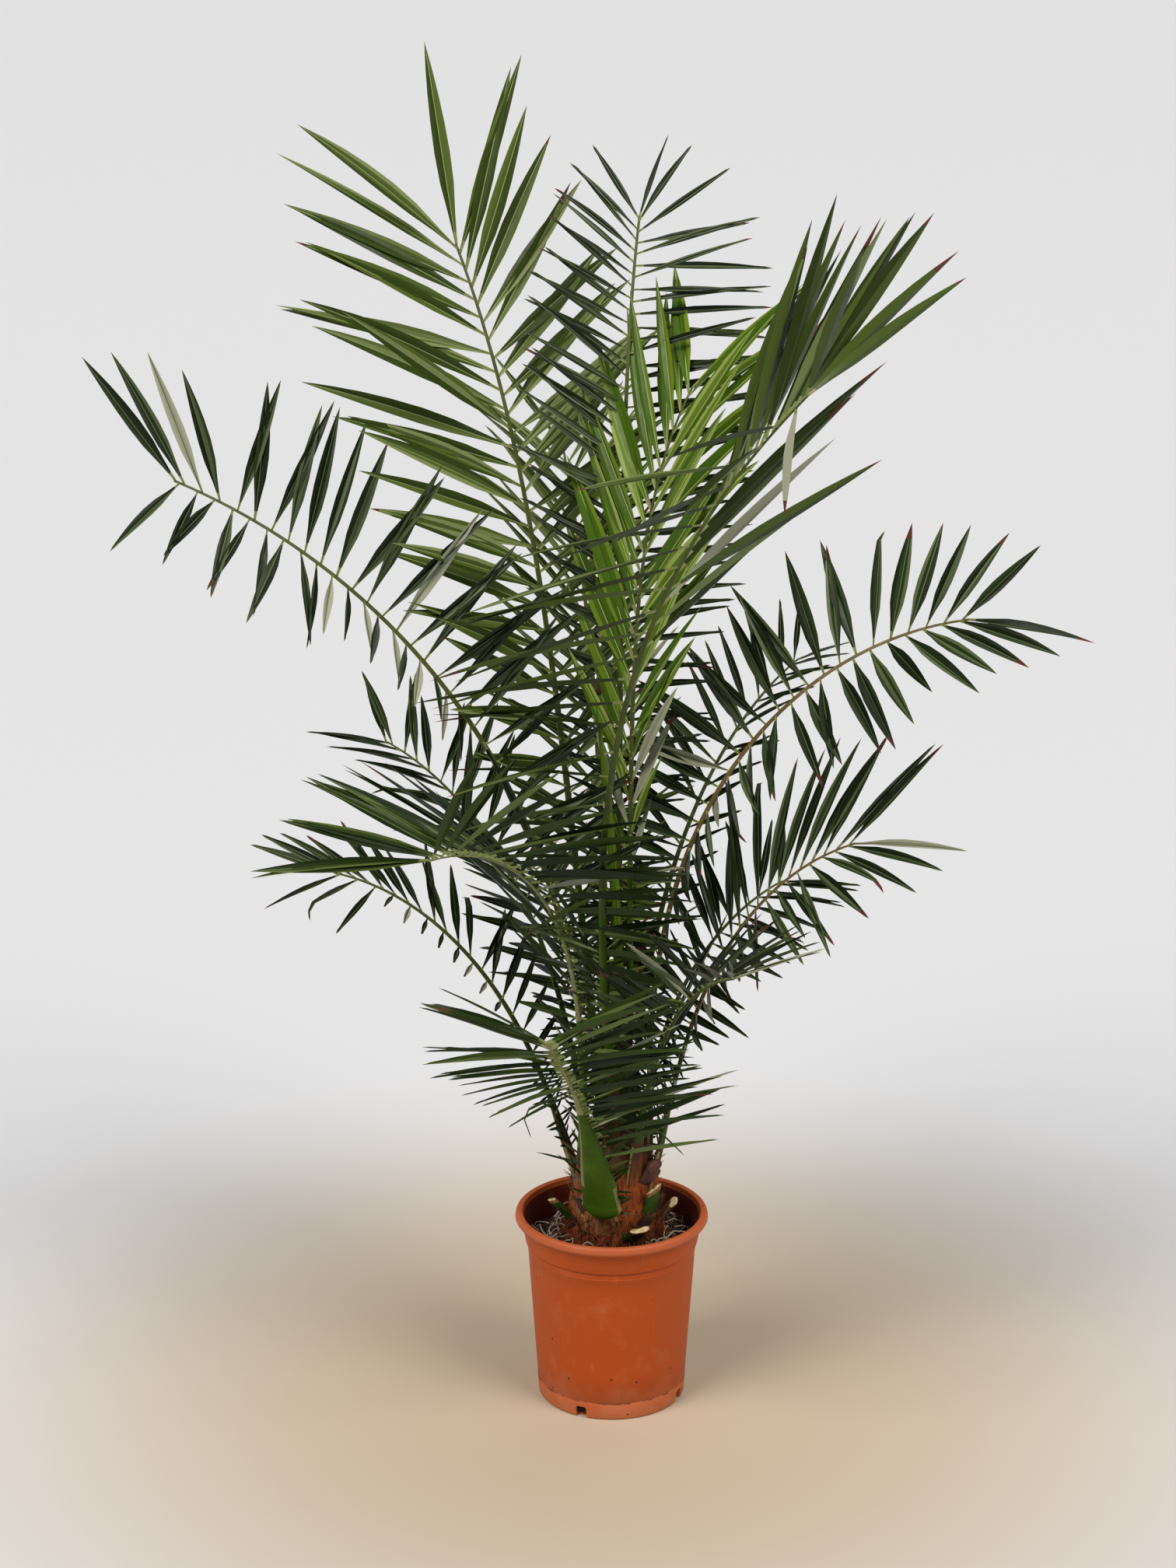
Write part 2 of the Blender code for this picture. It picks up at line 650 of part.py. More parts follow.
def make_standing(trunk_room):
    """The spear, stalks and stubs, each cut clear of the trunk, the soil and those before it."""
    soil_room = block("soil_clearance", 0.3, 0.3, 0.1)
    soil_room.location.z = SOIL_TOP + CLEAR - 0.05
    bpy.context.view_layer.update()
    stalk_paint = material("stalk_skin", STALK_GREEN, 0.45)
    stub_paint = material("cut_stub", STUB_CREAM, 0.8)
    spear_paint = material("spear_leaf", BRIGHT_GREEN, 0.5)
    planned = [(make_spear("spear", 0), make_spear("spear_clearance", CLEAR), spear_paint)]
    for frond in FRONDS:
        line = frond_line(frond)
        planned.append((make_stalk(frond, line, 0), make_stalk(frond, line, CLEAR), stalk_paint))
    for stub in STUBS:
        planned.append((make_stub(stub, 0), make_stub(stub, CLEAR), stub_paint))
    rooms = []
    for piece, room, paint in planned:
        cut_clear(piece, [trunk_room, soil_room, *overlapping(piece, rooms)])
        piece.data.materials.append(paint)
        rooms.append(room)
    remove([soil_room, *rooms])
    return [piece for piece, room, paint in planned]


def make_blades(standing):
    """Every blade: first all the ribs, then leaflets that keep clear of what stands already."""
    chance = random.Random(SEED)
    space = Space()
    for piece in standing:
        space.add_object(piece.name, piece)
    blades = []
    for frond in FRONDS:
        line = frond_line(frond)
        edges = [mix(frond.bare, 1, part / frond.parts) for part in range(frond.parts + 1)]
        for part in range(frond.parts):
            start, end = edges[part], edges[part + 1]
            stop = end - CLEAR / frond.length if end < 1 else 1
            name = f"frond_{frond.name}_blade" + ("" if frond.parts == 1 else f"_{part + 1}")
            piece = rib(frond, name, line, start, stop)
            space.add_object(f"{frond.name}{part}", piece)
            blades.append((frond, part, line, start, stop, piece))
    greens = {
        DARK_GREEN: material("leaf_dark", DARK_GREEN, 0.5),
        MID_GREEN: material("leaf_mid", MID_GREEN, 0.5),
        BRIGHT_GREEN: material("leaf_bright", BRIGHT_GREEN, 0.5),
    }
    for frond, part, line, start, end, piece in blades:
        fuse(piece, place_leaflets(frond, part, line, start, end, space, chance))
        piece.data.materials.append(greens[frond.green])


def make_plant():
    pot, soil = make_pot(), make_soil()
    trunk = trunk_object("trunk", 0)
    trunk.data.materials.append(material("trunk_fibre", FIBRE_BROWN, 0.9))
    trunk_room = trunk_object("trunk_clearance", CLEAR)
    standing = make_standing(trunk_room)
    remove([trunk_room])
    make_blades([pot, soil, trunk, *standing])


def clear_scene():
    for old in list(bpy.data.objects):
        bpy.data.objects.remove(old)


clear_scene()
make_plant()
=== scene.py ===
"""The looks of a young Canary Island date palm in its round plastic nursery pot.

Metres, +Z up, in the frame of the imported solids: the origin is the middle of the pot's flat
underside. The solids of the fronds, trunk, stumps, soil and pot are replaced, each in its own
place, by finer pieces: fronds grow here by the same rule as the solids, with more leaflets.
"""

import math
import random
from collections import namedtuple

import bmesh
import bpy
import numpy as np
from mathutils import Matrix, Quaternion, Vector, noise


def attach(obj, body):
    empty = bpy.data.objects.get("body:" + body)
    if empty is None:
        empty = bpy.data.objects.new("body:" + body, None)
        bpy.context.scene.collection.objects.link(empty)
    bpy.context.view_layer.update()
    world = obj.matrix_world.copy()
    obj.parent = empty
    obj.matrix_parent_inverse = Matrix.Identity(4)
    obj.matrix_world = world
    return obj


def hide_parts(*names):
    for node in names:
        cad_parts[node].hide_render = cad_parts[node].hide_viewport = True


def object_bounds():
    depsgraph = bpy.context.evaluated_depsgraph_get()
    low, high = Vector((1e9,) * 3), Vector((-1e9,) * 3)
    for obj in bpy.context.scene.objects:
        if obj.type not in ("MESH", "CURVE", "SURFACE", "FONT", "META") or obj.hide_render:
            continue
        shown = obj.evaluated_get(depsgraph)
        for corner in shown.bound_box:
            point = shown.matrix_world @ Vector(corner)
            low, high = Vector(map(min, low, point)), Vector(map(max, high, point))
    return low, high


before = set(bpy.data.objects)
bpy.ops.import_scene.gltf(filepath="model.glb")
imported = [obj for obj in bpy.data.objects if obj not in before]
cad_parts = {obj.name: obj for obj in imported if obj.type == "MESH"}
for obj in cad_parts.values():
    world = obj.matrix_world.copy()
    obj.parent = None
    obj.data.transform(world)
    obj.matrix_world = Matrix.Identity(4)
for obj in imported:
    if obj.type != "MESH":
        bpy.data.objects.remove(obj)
solid_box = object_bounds()

UP = Vector((0, 0, 1))
MM = 0.001
SEED = 41

# The view -------------------------------------------------------------------------------

CAMERA_PLACE = (0.0, -3.6, 1.85)
CAMERA_TILT_DOWN = 16.35
CAMERA_TURN = 0.468
SENSOR = 36.0
FOCAL_PIXELS = 4038.0
PICTURE_HEIGHT = 2016.0


def make_camera():
    lens = bpy.data.cameras.new("camera")
    lens.sensor_width = SENSOR
    lens.lens = SENSOR * FOCAL_PIXELS / PICTURE_HEIGHT
    camera = bpy.data.objects.new("camera", lens)
    camera.location = CAMERA_PLACE
    camera.rotation_euler = (math.radians(90 - CAMERA_TILT_DOWN), 0, math.radians(CAMERA_TURN))
    bpy.context.scene.collection.objects.link(camera)
    bpy.context.scene.camera = camera


make_camera()

# Sizes, as the solids have them ----------------------------------------------------------

POT_RIM_RADIUS = 0.120
POT_HEIGHT = 0.243
POT_LIP_HEIGHT = 0.011
POT_LIP_INNER_RADIUS = 0.1105
POT_TOP_RADIUS = 0.1078
POT_BASE_RADIUS = 0.0916
POT_WALL = 0.0025
POT_FLOOR = 0.003
COLLAR_FOOT_HEIGHT = 0.204
COLLAR_STEP = 0.0012
BASE_BAND_HEIGHT = 0.022
BASE_BAND_STEP = 0.0008
NOTCH_WIDTH = 0.014
NOTCH_HEIGHT = 0.015
NOTCH_ANGLES = (246, 336, 66, 156)
SOIL_TOP = 0.205

TRUNK_CENTRE = (0.002, 0.0)
TRUNK_LEAN = 0.035  # how far its axis moves sideways for each metre of height
TRUNK_TAPER = (  # (height above the soil, radius)
    (0.000, 0.063),
    (0.012, 0.057),
    (0.045, 0.0535),
    (0.080, 0.0495),
    (0.110, 0.043),
    (0.145, 0.033),
    (0.185, 0.022),
    (0.225, 0.013),
    (0.250, 0.007),
)

STALK_SLIM_WIDTH = 0.0115
STALK_SHORT_SHARE = 0.72  # how slim the shortest stalk would be against one a metre long
STALK_NARROWS_IN = 0.13  # length over which the clasping foot narrows
STALK_ROUNDS_IN = 0.10  # and over which it turns from flat to nearly round
STALK_FLATNESS = (0.45, 0.85)  # depth against width, at the foot and above it
RIB_TIP_WIDTH = 0.003
SPEAR_LENGTH = 0.46
SPEAR_WIDTH = 0.013
SPEAR_SINK = 0.02
SPEAR_LEAN = (-0.03, 0.01)

FIRST_LEAFLET_SHARE = 0.26  # length of the lowest leaflet against the longest
TIP_LEAFLET_SHARE = 0.92  # and of the last one
END_LEAFLET_SHARE = 0.998  # place of the single end leaflet on the midrib
PAIR_SHIFTS = ((1, 0.65), (-1, 0.40))  # (hand, where in its step a leaflet leaves the rib)
LENGTH_RISE = 0.75  # a low value lets leaflets lengthen sooner
SAG = 0.07  # how far every leaflet leans towards the ground

# foot: angle round the trunk, radius, height. heading and sweep: the compass angle at the foot
# and how far it turns by the tip. lean and droop: tilt from upright at foot and tip. bend: a
# high value keeps the arch for the tip. bare: share of the length with no leaflets. width: of
# the stalk at its clasping foot. leaflet: length of the longest. swell: share of the blade at
# which leaflets reach that length. pairs: leaflets on each side of the solid. roll: twist of the
# blade's plane, which raises the left side. look: its finish, from LOOKS. parts: how many solids
# the blade has. left and right: how the leaflets of each side stand, in rows (place from the
# first leaflet to the last, angle from the midrib, rise out of the blade's plane, length against
# the rule's, how far gravity has turned them towards straight down, 0 to 1). crowd: how many
# leaflets grow on the left and the right for each one of the solid. slim: their width against
# the usual. cant: how far they are turned about their own length, as (first, last) on the left
# and (first, last) on the right. gather: on the left and the right, a low value crowds them
# towards the tip. tip: share of the length at which the midrib and its leaflets end. flat: their
# fold against the usual.
Frond = namedtuple(
    "Frond",
    "name foot heading sweep lean droop bend length bare width"
    " leaflet swell pairs roll look parts left right crowd slim cant gather tip flat",
    defaults=((1.85, 1.85), 1.0, ((0, 0), (0, 0)), (0.85, 0.85), 1.0, 1.0),
)
FRONDS = (
    Frond("upper_left", (170, 0.024, 0.400), 131, -1, 9, 37, 3.0, 1.094, 0.20, 0.018,
          0.285, 0.66, 18, -10, "olive", 1,
          ((0, 60, 20, 0.9, 0), (0.5, 62, 12, 1, 0), (0.85, 56, 12, 1, 0), (1, 40, 12, 0.98, 0)),
          ((0, 44, 20, 0.9, 0), (0.5, 56, 4, 0.9, 0), (0.8, 52, 0, 0.92, 0), (0.91, 40, 34, 0.9, 0),
           (0.965, 28, 50, 0.93, 0), (0.99, 18, 74, 1, 0), (1, 18, 75, 1, 0)),
          crowd=(1.75, 1.75), slim=1.15, tip=0.962, flat=0.55),
    Frond("long_left", (194, 0.040, 0.325), 190, -8, -1, 67, 1.20, 1.030, 0.22, 0.024,
          0.190, 0.50, 17, -44, "dusky", 2,
          ((0, 84, 62, 1.5, 0.1), (0.18, 84, 50, 1, 0.3), (0.22, 84, 40, 0, 0.6), (0.37, 84, 28, 0, 0.8),
           (0.38, 84, 28, 0.95, 0.8), (0.44, 84, 28, 0.95, 0.7), (0.47, 84, 28, 0.3, 0.7),
           (0.72, 84, 28, 0.34, 0.7), (0.78, 84, 28, 0.6, 0.6), (1, 40, 28, 0.66, 0.4)),
          ((0, 80, 66, 1.7, 0.05), (0.3, 72, 44, 1, 0), (0.6, 74, 30, 0.95, 0),
           (0.86, 66, 28, 0.92, 0), (0.95, 48, 28, 0.95, 0), (1, 32, 44, 1, 0)),
          slim=1.2),
    Frond("long_right", (0, 0.040, 0.320), -6, 2, -1, 83, 1.75, 0.855, 0.24, 0.024,
          0.180, 0.50, 14, 44, "scorched", 2,
          ((0, 84, 28, 0.9, 0), (0.4, 92, 28, 0.85, 0), (0.6, 78, 28, 0.85, 0),
           (0.9, 60, 28, 0.82, 0), (1, 34, 28, 0.8, 0)),
          ((0, 84, 28, 0.5, 0.5), (0.3, 84, 28, 0.45, 0.6), (0.55, 80, 28, 0.6, 0.45),
           (0.8, 74, 28, 0.84, 0.3), (0.98, 40, 28, 0.88, 0.1), (1, 12, 10, 0.9, 0)),
          slim=1.4),
    Frond("upper_right", (-100, 0.025, 0.390), -116, 98, 14, 44, 1.80, 1.030, 0.22, 0.018,
          0.285, 0.66, 17, -25, "scorched_olive", 1,
          ((0, 56, 10, 0, 0), (0.52, 42, 20, 0, 0), (0.53, 42, 20, 0.95, 0), (0.75, 35, 20, 0.97, 0),
           (0.77, 26, 60, 0.9, 0), (0.85, 28, 80, 0.95, 0), (0.92, 26, 84, 0.98, 0),
           (0.97, 16, 60, 0.96, 0), (1, 18, 20, 0.8, 0)),
          ((0, 86, 0, 0.95, 0.1), (0.45, 88, -5, 1.0, 0.2), (0.9, 88, -8, 1, 0.22),
           (0.99, 92, -8, 0.9, 0.22), (1, 12, 18, 0.9, 0)),
          crowd=(1.7, 1.35), slim=1.05, cant=((10, -55), (48, 30)), gather=(0.3, 0.8), flat=0.8),
    Frond("young_centre", (20, 0.012, 0.430), 44, -5, 0, 37, 4.50, 0.846, 0.28, 0.012,
          0.245, 0.66, 12, 0, "young", 1,
          ((0, 22, 6, 1.3, 0), (0.6, 32, 6, 1.05, 0), (1, 30, 6, 0.9, 0)),
          ((0, 22, 6, 1.3, 0), (0.6, 40, 6, 1.05, 0), (1, 34, 6, 0.9, 0)),
          crowd=(1.8, 1.8), slim=1.35, flat=0.6),
    Frond("top_back", (95, 0.022, 0.405), 88, -6, 2, 47, 3.50, 1.080, 0.24, 0.018,
          0.200, 0.60, 15, 0, "dusky", 1,
          ((0, 58, 8, 0.75, 0), (0.8, 54, 8, 0.74, 0), (0.96, 42, 8, 0.72, 0), (1, 24, 8, 0.75, 0)),
          ((0, 74, 8, 0.9, 0), (0.93, 80, 8, 0.86, 0), (0.98, 42, 8, 0.72, 0), (1, 4, 8, 0.72, 0)),
          crowd=(3, 3), slim=0.75),
    Frond("front_left", (-142, 0.048, 0.285), -111, -40, 2, 102, 2.80, 0.588, 0.28, 0.026,
          0.225, 0.40, 11, 0, "low_olive", 2,
          ((0, 84, 10, 1.3, 0.05), (0.2, 88, 22, 0.9, 0), (0.4, 92, 28, 0.75, 0),
           (0.6, 106, 32, 0.82, 0), (0.8, 122, 38, 1, 0), (0.9, 122, 50, 0.9, 0), (1, 105, 58, 0.75, 0)),
          ((0, 60, 10, 0.8, 0.1), (0.5, 56, 20, 0.9, 0), (0.7, 44, 14, 1, 0), (0.82, 34, 10, 1, 0),
           (0.87, 38, 30, 0.9, 0), (0.93, 42, 46, 0.9, 0), (1, 28, 22, 1, 0)),
          crowd=(2.6, 3.2), slim=1.1, cant=((0, -30), (0, 55)), gather=(0.8, 0.6), flat=0.8),
    Frond("bottom_front", (-102, 0.056, 0.235), -114, 5, 7, 49, 0.75, 0.377, 0.28, 0.046,
          0.180, 0.25, 9, 0, "low_olive", 1,
          ((0, 66, 12, 2.6, 0), (0.12, 66, 12, 1.35, 0), (0.35, 66, 12, 1, 0),
           (0.7, 68, 20, 0.97, 0), (0.92, 74, 26, 0.97, 0), (1, 62, 24, 0.95, 0)),
          ((0, 60, 30, 0, 0), (0.48, 77, -40, 0, 0), (0.5, 77, -40, 0.46, 0),
           (0.6, 78, -34, 0.6, 0), (0.7, 72, -24, 0.75, 0), (0.8, 62, -12, 0.85, 0),
           (0.88, 64, -14, 0.95, 0), (0.94, 54, 0, 0.92, 0), (1, 42, 12, 0.88, 0)),
          crowd=(4.6, 3.8), slim=0.74, cant=((0, -25), (0, -60)), gather=(0.75, 0.62)),
    Frond("low_right", (-25, 0.048, 0.285), -8, -1, 11, 71, 2.40, 0.536, 0.28, 0.026,
          0.190, 0.45, 11, 40, "scorched", 1,
          ((0, 60, 22, 0.7, 0), (0.4, 50, 22, 0.6, 0), (0.6, 44, 22, 0.9, 0), (1, 28, 22, 0.98, 0)),
          ((0, 70, 22, 0.4, 0.3), (0.55, 76, 22, 0.26, 0.4), (0.65, 76, 20, 0.7, 0.25),
           (0.85, 60, 20, 0.8, 0.1), (0.98, 34, 20, 0.85, 0), (1, 16, 10, 0.85, 0))),
    Frond("low_left", (165, 0.048, 0.280), 165, -1, 18, 85, 1.90, 0.515, 0.30, 0.026,
          0.165, 0.40, 9, -34, "shade", 1,
          ((0, 80, 0, 0, 0.6), (0.2, 80, 0, 0.12, 0.6), (0.78, 74, 20, 0.14, 0.5),
           (0.84, 66, 20, 0.5, 0.3), (1, 38, 20, 0.7, 0.1)),
          ((0, 60, 40, 1, 0), (0.4, 40, 26, 0.6, 0), (0.8, 22, 20, 0.62, 0), (1, 10, 20, 0.85, 0)),
          crowd=(1.4, 1.9)),
    Frond("side_right", (38, 0.046, 0.295), 30, 3, 1, 75, 1.40, 0.419, 0.30, 0.024,
          0.165, 0.35, 8, 30, "shade", 1,
          ((0, 74, 40, 0.9, 0), (0.5, 66, 18, 0.7, 0), (1, 36, 18, 0.7, 0)),
          ((0, 74, 30, 0.8, 0.2), (0.5, 70, 18, 0.6, 0.3), (1, 36, 18, 0.7, 0.1)), crowd=(2.0, 2.0)),
    Frond("high_back", (108, 0.036, 0.335), 98, 4, 3, 52, 1.50, 0.900, 0.26, 0.022,
          0.200, 0.55, 12, 0, "olive", 1,
          ((0, 50, 14, 1, 0), (1, 34, 14, 0.85, 0)), ((0, 50, 14, 1, 0), (1, 34, 14, 0.85, 0)),
          crowd=(2.0, 2.0), slim=0.8),
    Frond("back_left", (136, 0.046, 0.300), 138, 6, 10, 76, 1.60, 0.620, 0.28, 0.024,
          0.170, 0.45, 9, -10, "shade", 1,
          ((0, 74, 30, 0.9, 0), (1, 38, 14, 0.7, 0)), ((0, 74, 30, 0.9, 0), (1, 38, 14, 0.85, 0)),
          crowd=(2.0, 2.0)),
    Frond("back_right", (66, 0.040, 0.325), 52, -4, 6, 72, 1.60, 0.680, 0.26, 0.022,
          0.175, 0.45, 10, 10, "shade", 1,
          ((0, 70, 30, 0.9, 0), (1, 34, 14, 0.8, 0)), ((0, 70, 30, 0.8, 0), (0.4, 60, 20, 0.5, 0),
                                                      (1, 30, 14, 0.5, 0)),
          crowd=(1.7, 1.7), slim=0.85),
    Frond("low_back", (98, 0.050, 0.275), 104, 6, 22, 92, 1.50, 0.480, 0.32, 0.026,
          0.165, 0.35, 8, 0, "shade", 1,
          ((0, 74, 20, 0.9, 0), (1, 38, 14, 0.9, 0)), ((0, 74, 20, 0.9, 0), (1, 38, 14, 0.9, 0)),
          crowd=(2.3, 2.3)),
    Frond("front_right", (-62, 0.046, 0.300), -52, -6, 8, 72, 1.60, 0.400, 0.32, 0.024,
          0.145, 0.35, 7, 0, "shade", 1,
          ((0, 56, 30, 1.2, 0), (1, 34, 22, 0.9, 0)), ((0, 64, 30, 1.2, 0), (1, 38, 22, 0.9, 0)),
          crowd=(2.8, 2.8), slim=0.8),
)

Stub = namedtuple("Stub", "name angle radius height lean length width")
STUBS = (
    Stub("stub_left", 196, 0.052, 0.238, 44, 0.038, 0.024),
    Stub("stub_right", -38, 0.050, 0.242, 14, 0.046, 0.026),
    Stub("stub_far_right", 8, 0.054, 0.226, 42, 0.030, 0.020),
    Stub("stub_front", -66, 0.054, 0.228, 50, 0.030, 0.026),
    Stub("stub_back", 118, 0.053, 0.228, 40, 0.034, 0.024),
)

# Small helpers ---------------------------------------------------------------------------


def compass(angle):
    return Vector((math.cos(math.radians(angle)), math.sin(math.radians(angle)), 0))


def turns(count):
    """The cosine and sine of each equal step round a full turn."""
    angles = [math.tau * number / count for number in range(count)]
    return [(math.cos(angle), math.sin(angle)) for angle in angles]


def smooth(value):
    value = min(1, max(0, value))
    return value * value * (3 - 2 * value)


def mix(start, end, share):
    return start + (end - start) * share


def row_at(table, place):
    """The values at this place, on straight lines between the table's (place, *values) rows."""
    for (low, *start), (high, *end) in zip(table, table[1:]):
        if place <= high:
            return [mix(a, b, (place - low) / (high - low)) for a, b in zip(start, end)]
    return list(table[-1][1:])


def along_table(table, place):
    return row_at(table, place)[0]


def linear(hex_colour):
    """sRGB hex to the linear colour that a shader takes."""
    channels = [int(hex_colour[place:place + 2], 16) / 255 for place in (1, 3, 5)]
    bent = [c / 12.92 if c <= 0.04045 else ((c + 0.055) / 1.055) ** 2.4 for c in channels]
    return (*bent, 1)


def scale_of(millimetres):
    """The scale at which one step of a pattern is this wide."""
    return 1 / (millimetres * MM)


def plug(node, inputs):
    """Sets the node's inputs, by name or number, to a plain value, a hex colour or an output to
    link. A node stands for its first output in use."""
    for name, value in inputs.items():
        if isinstance(name, int):
            into = node.inputs[name]
        else:
            into = next(one for one in node.inputs if one.enabled and one.name == name)
        if isinstance(value, bpy.types.Node):
            value = next(one for one in value.outputs if one.enabled)
        if isinstance(value, bpy.types.NodeSocket):
            node.id_data.links.new(value, into)
        else:
            into.default_value = linear(value) if isinstance(value, str) else value


def add(tree, kind, inputs, **settings):
    """One shader node with its settings, its plain values and its links."""
    made = tree.nodes.new(f"ShaderNode{kind}")
    for name, value in settings.items():
        setattr(made, name, value)
    plug(made, inputs)
    return made


def tinted(tree, colour, tint, pattern, begins, full, most=1.0):
    """The colour, fading to the tint as the pattern goes from begins to full; most is the share
    of tint there."""
    share = add(tree, "MapRange", {
        "Value": pattern, "From Min": begins, "From Max": full, "To Max": most})
    return add(tree, "Mix", {"Factor": share, "A": colour, "B": tint}, data_type="RGBA")


def start_material(name, roughness, ior, specular=0.5):
    """A material with its shader, not metallic; its look is added to the node tree."""
    made = bpy.data.materials.new(name)
    made.use_nodes = True
    shader = made.node_tree.nodes["Principled BSDF"]
    plug(shader, {"Roughness": roughness, "IOR": ior, "Metallic": 0,
                  "Specular IOR Level": specular})
    return made, made.node_tree, shader


# Finishes --------------------------------------------------------------------------------

LEDGE_DIRT = 0.0009  # how far dirt spreads above and below the base band's ledge
DAMP_UP_TO = 0.258  # height up to which the trunk's foot is dark with damp
DAMP_FIBRE = "#3B1A0E"
DRY_UP_TO = 0.330  # height up to which its leaf bases are dry
# the fresh green above this height is darkened as painted shade under the crown
GREEN_FROM = 0.372  # and from which they are fresh


def moulded_polypropylene(name, main, bloom, dirt, wear_height):
    """Injection-moulded polypropylene, terracotta coloured: an even satin skin with a fine orange
    peel from the mould, a chalky bloom and upright scrapes where it was handled, specks of dried
    soil, and dirt lodged along the base band's ledge."""
    peel_mm, bloom_mm, scrape_mm, splash_gap_mm = 0.9, 38, 9, 10.4
    made, tree, shader = start_material(name, 0.46, 1.49, specular=0.35)
    place = add(tree, "TexCoord", {}).outputs["Object"]
    height = add(tree, "SeparateXYZ", {"Vector": place}).outputs["Z"]
    blotches = add(tree, "TexNoise", {
        "Vector": place, "Scale": scale_of(bloom_mm), "Detail": 5, "Roughness": 0.62})
    low = add(tree, "MapRange", {
        "Value": height, "From Min": wear_height, "From Max": 0, "To Max": 0.56})
    chalky = add(tree, "Math", {0: blotches, 1: low}, operation="ADD")
    base = tinted(tree, main, bloom, chalky, 0.55, 1.0, 0.6)
    upright = add(tree, "Mapping", {"Vector": place, "Scale": (1, 1, 0.16)})
    scrapes = add(tree, "TexNoise", {"Vector": upright, "Scale": scale_of(scrape_mm), "Detail": 3})
    worn = tinted(tree, base, bloom, scrapes, 0.66, 0.74, 0.28)
    splashes = add(tree, "TexVoronoi", {"Vector": place, "Scale": scale_of(splash_gap_mm)})
    rare = add(tree, "SeparateColor", {"Color": splashes.outputs["Color"]})
    near = add(tree, "Math", {0: splashes, 1: 0.14}, operation="LESS_THAN")
    seldom = add(tree, "Math", {0: rare, 1: 0.94}, operation="GREATER_THAN")
    speck = add(tree, "Math", {0: near, 1: seldom}, operation="MULTIPLY")
    spotted = add(tree, "Mix", {"Factor": speck, "A": worn, "B": dirt}, data_type="RGBA")
    at_ledge = add(tree, "Math", {0: height, 1: BASE_BAND_HEIGHT, 2: LEDGE_DIRT},
                   operation="COMPARE")
    patchy = add(tree, "MapRange", {
        "Value": scrapes, "From Min": 0.40, "From Max": 0.62, "To Max": 0.75})
    lodged = add(tree, "Math", {0: at_ledge, 1: patchy}, operation="MULTIPLY")
    grimed = add(tree, "Mix", {"Factor": lodged, "A": spotted, "B": dirt}, data_type="RGBA")
    rough = add(tree, "MapRange", {
        "Value": chalky, "From Min": 0.3, "From Max": 0.9, "To Min": 0.40, "To Max": 0.66})
    peel = add(tree, "TexNoise", {"Vector": place, "Scale": scale_of(peel_mm), "Detail": 2})
    bump = add(tree, "Bump", {"Height": peel, "Strength": 0.10, "Distance": 0.25 * MM})
    plug(shader, {"Base Color": grimed, "Roughness": rough, "Normal": bump})
    return made


def peat(name, wet, dry, fleck):
    """Loose peat and coir with composted bark: near black where moist, crumbly, with no gloss."""
    crumb_mm, chip_mm = 3.0, 2.2
    made, tree, shader = start_material(name, 0.95, 1.35)
    place = add(tree, "TexCoord", {}).outputs["Object"]
    crumbs = add(tree, "TexNoise", {
        "Vector": place, "Scale": scale_of(crumb_mm), "Detail": 6, "Roughness": 0.7})
    mixed = tinted(tree, wet, dry, crumbs, 0.38, 0.68)
    chips = add(tree, "TexVoronoi", {"Vector": place, "Scale": scale_of(chip_mm)})
    chosen = add(tree, "SeparateColor", {"Color": chips.outputs["Color"]})
    flecked = tinted(tree, mixed, fleck, chosen, 0.90, 0.97, 0.7)
    bump = add(tree, "Bump", {"Height": crumbs, "Strength": 0.9, "Distance": 2.0 * MM})
    plug(shader, {"Base Color": flecked, "Normal": bump})
    return made


def leaf_base_fibre(name, main, pale, dark, fresh_shaded=None, stripe_mm=2.2, streak=9.0):
    """The palm's leaf-base sheath, a dry woven mat of coarse fibres: they run up the trunk, so
    the colour streaks upward between orange brown, straw and near black gaps. It is dark and damp
    at the soil. With a fresh and shaded colour, it turns to that towards the growing point: the
    green of young leaf bases, darkened as painted shade under the crown."""
    patch_mm = 26
    made, tree, shader = start_material(name, 0.82, 1.45)
    place = add(tree, "TexCoord", {}).outputs["Object"]
    height = add(tree, "SeparateXYZ", {"Vector": place}).outputs["Z"]
    stretched = add(tree, "Mapping", {"Vector": place, "Scale": (1, 1, 1 / streak)})
    fibres = add(tree, "TexNoise", {
        "Vector": stretched, "Scale": scale_of(stripe_mm), "Detail": 4, "Roughness": 0.6})
    patches = add(tree, "TexNoise", {
        "Vector": place, "Scale": scale_of(patch_mm), "Detail": 4, "Roughness": 0.6})
    base = tinted(tree, main, pale, patches, 0.42, 0.66)
    gapped = tinted(tree, base, dark, fibres, 0.47, 0.33)
    stranded = tinted(tree, gapped, pale, fibres, 0.58, 0.70, 0.7)
    colour = tinted(tree, stranded, DAMP_FIBRE, height, DAMP_UP_TO, SOIL_TOP, 0.8)
    if fresh_shaded:
        wavering = add(tree, "Math", {0: patches, 1: 0.08, 2: height}, operation="MULTIPLY_ADD")
        colour = tinted(tree, colour, fresh_shaded, wavering, DRY_UP_TO, GREEN_FROM, 0.85)
    bump = add(tree, "Bump", {"Height": fibres, "Strength": 0.8, "Distance": 1.4 * MM})
    plug(shader, {"Base Color": colour, "Normal": bump})
    return made


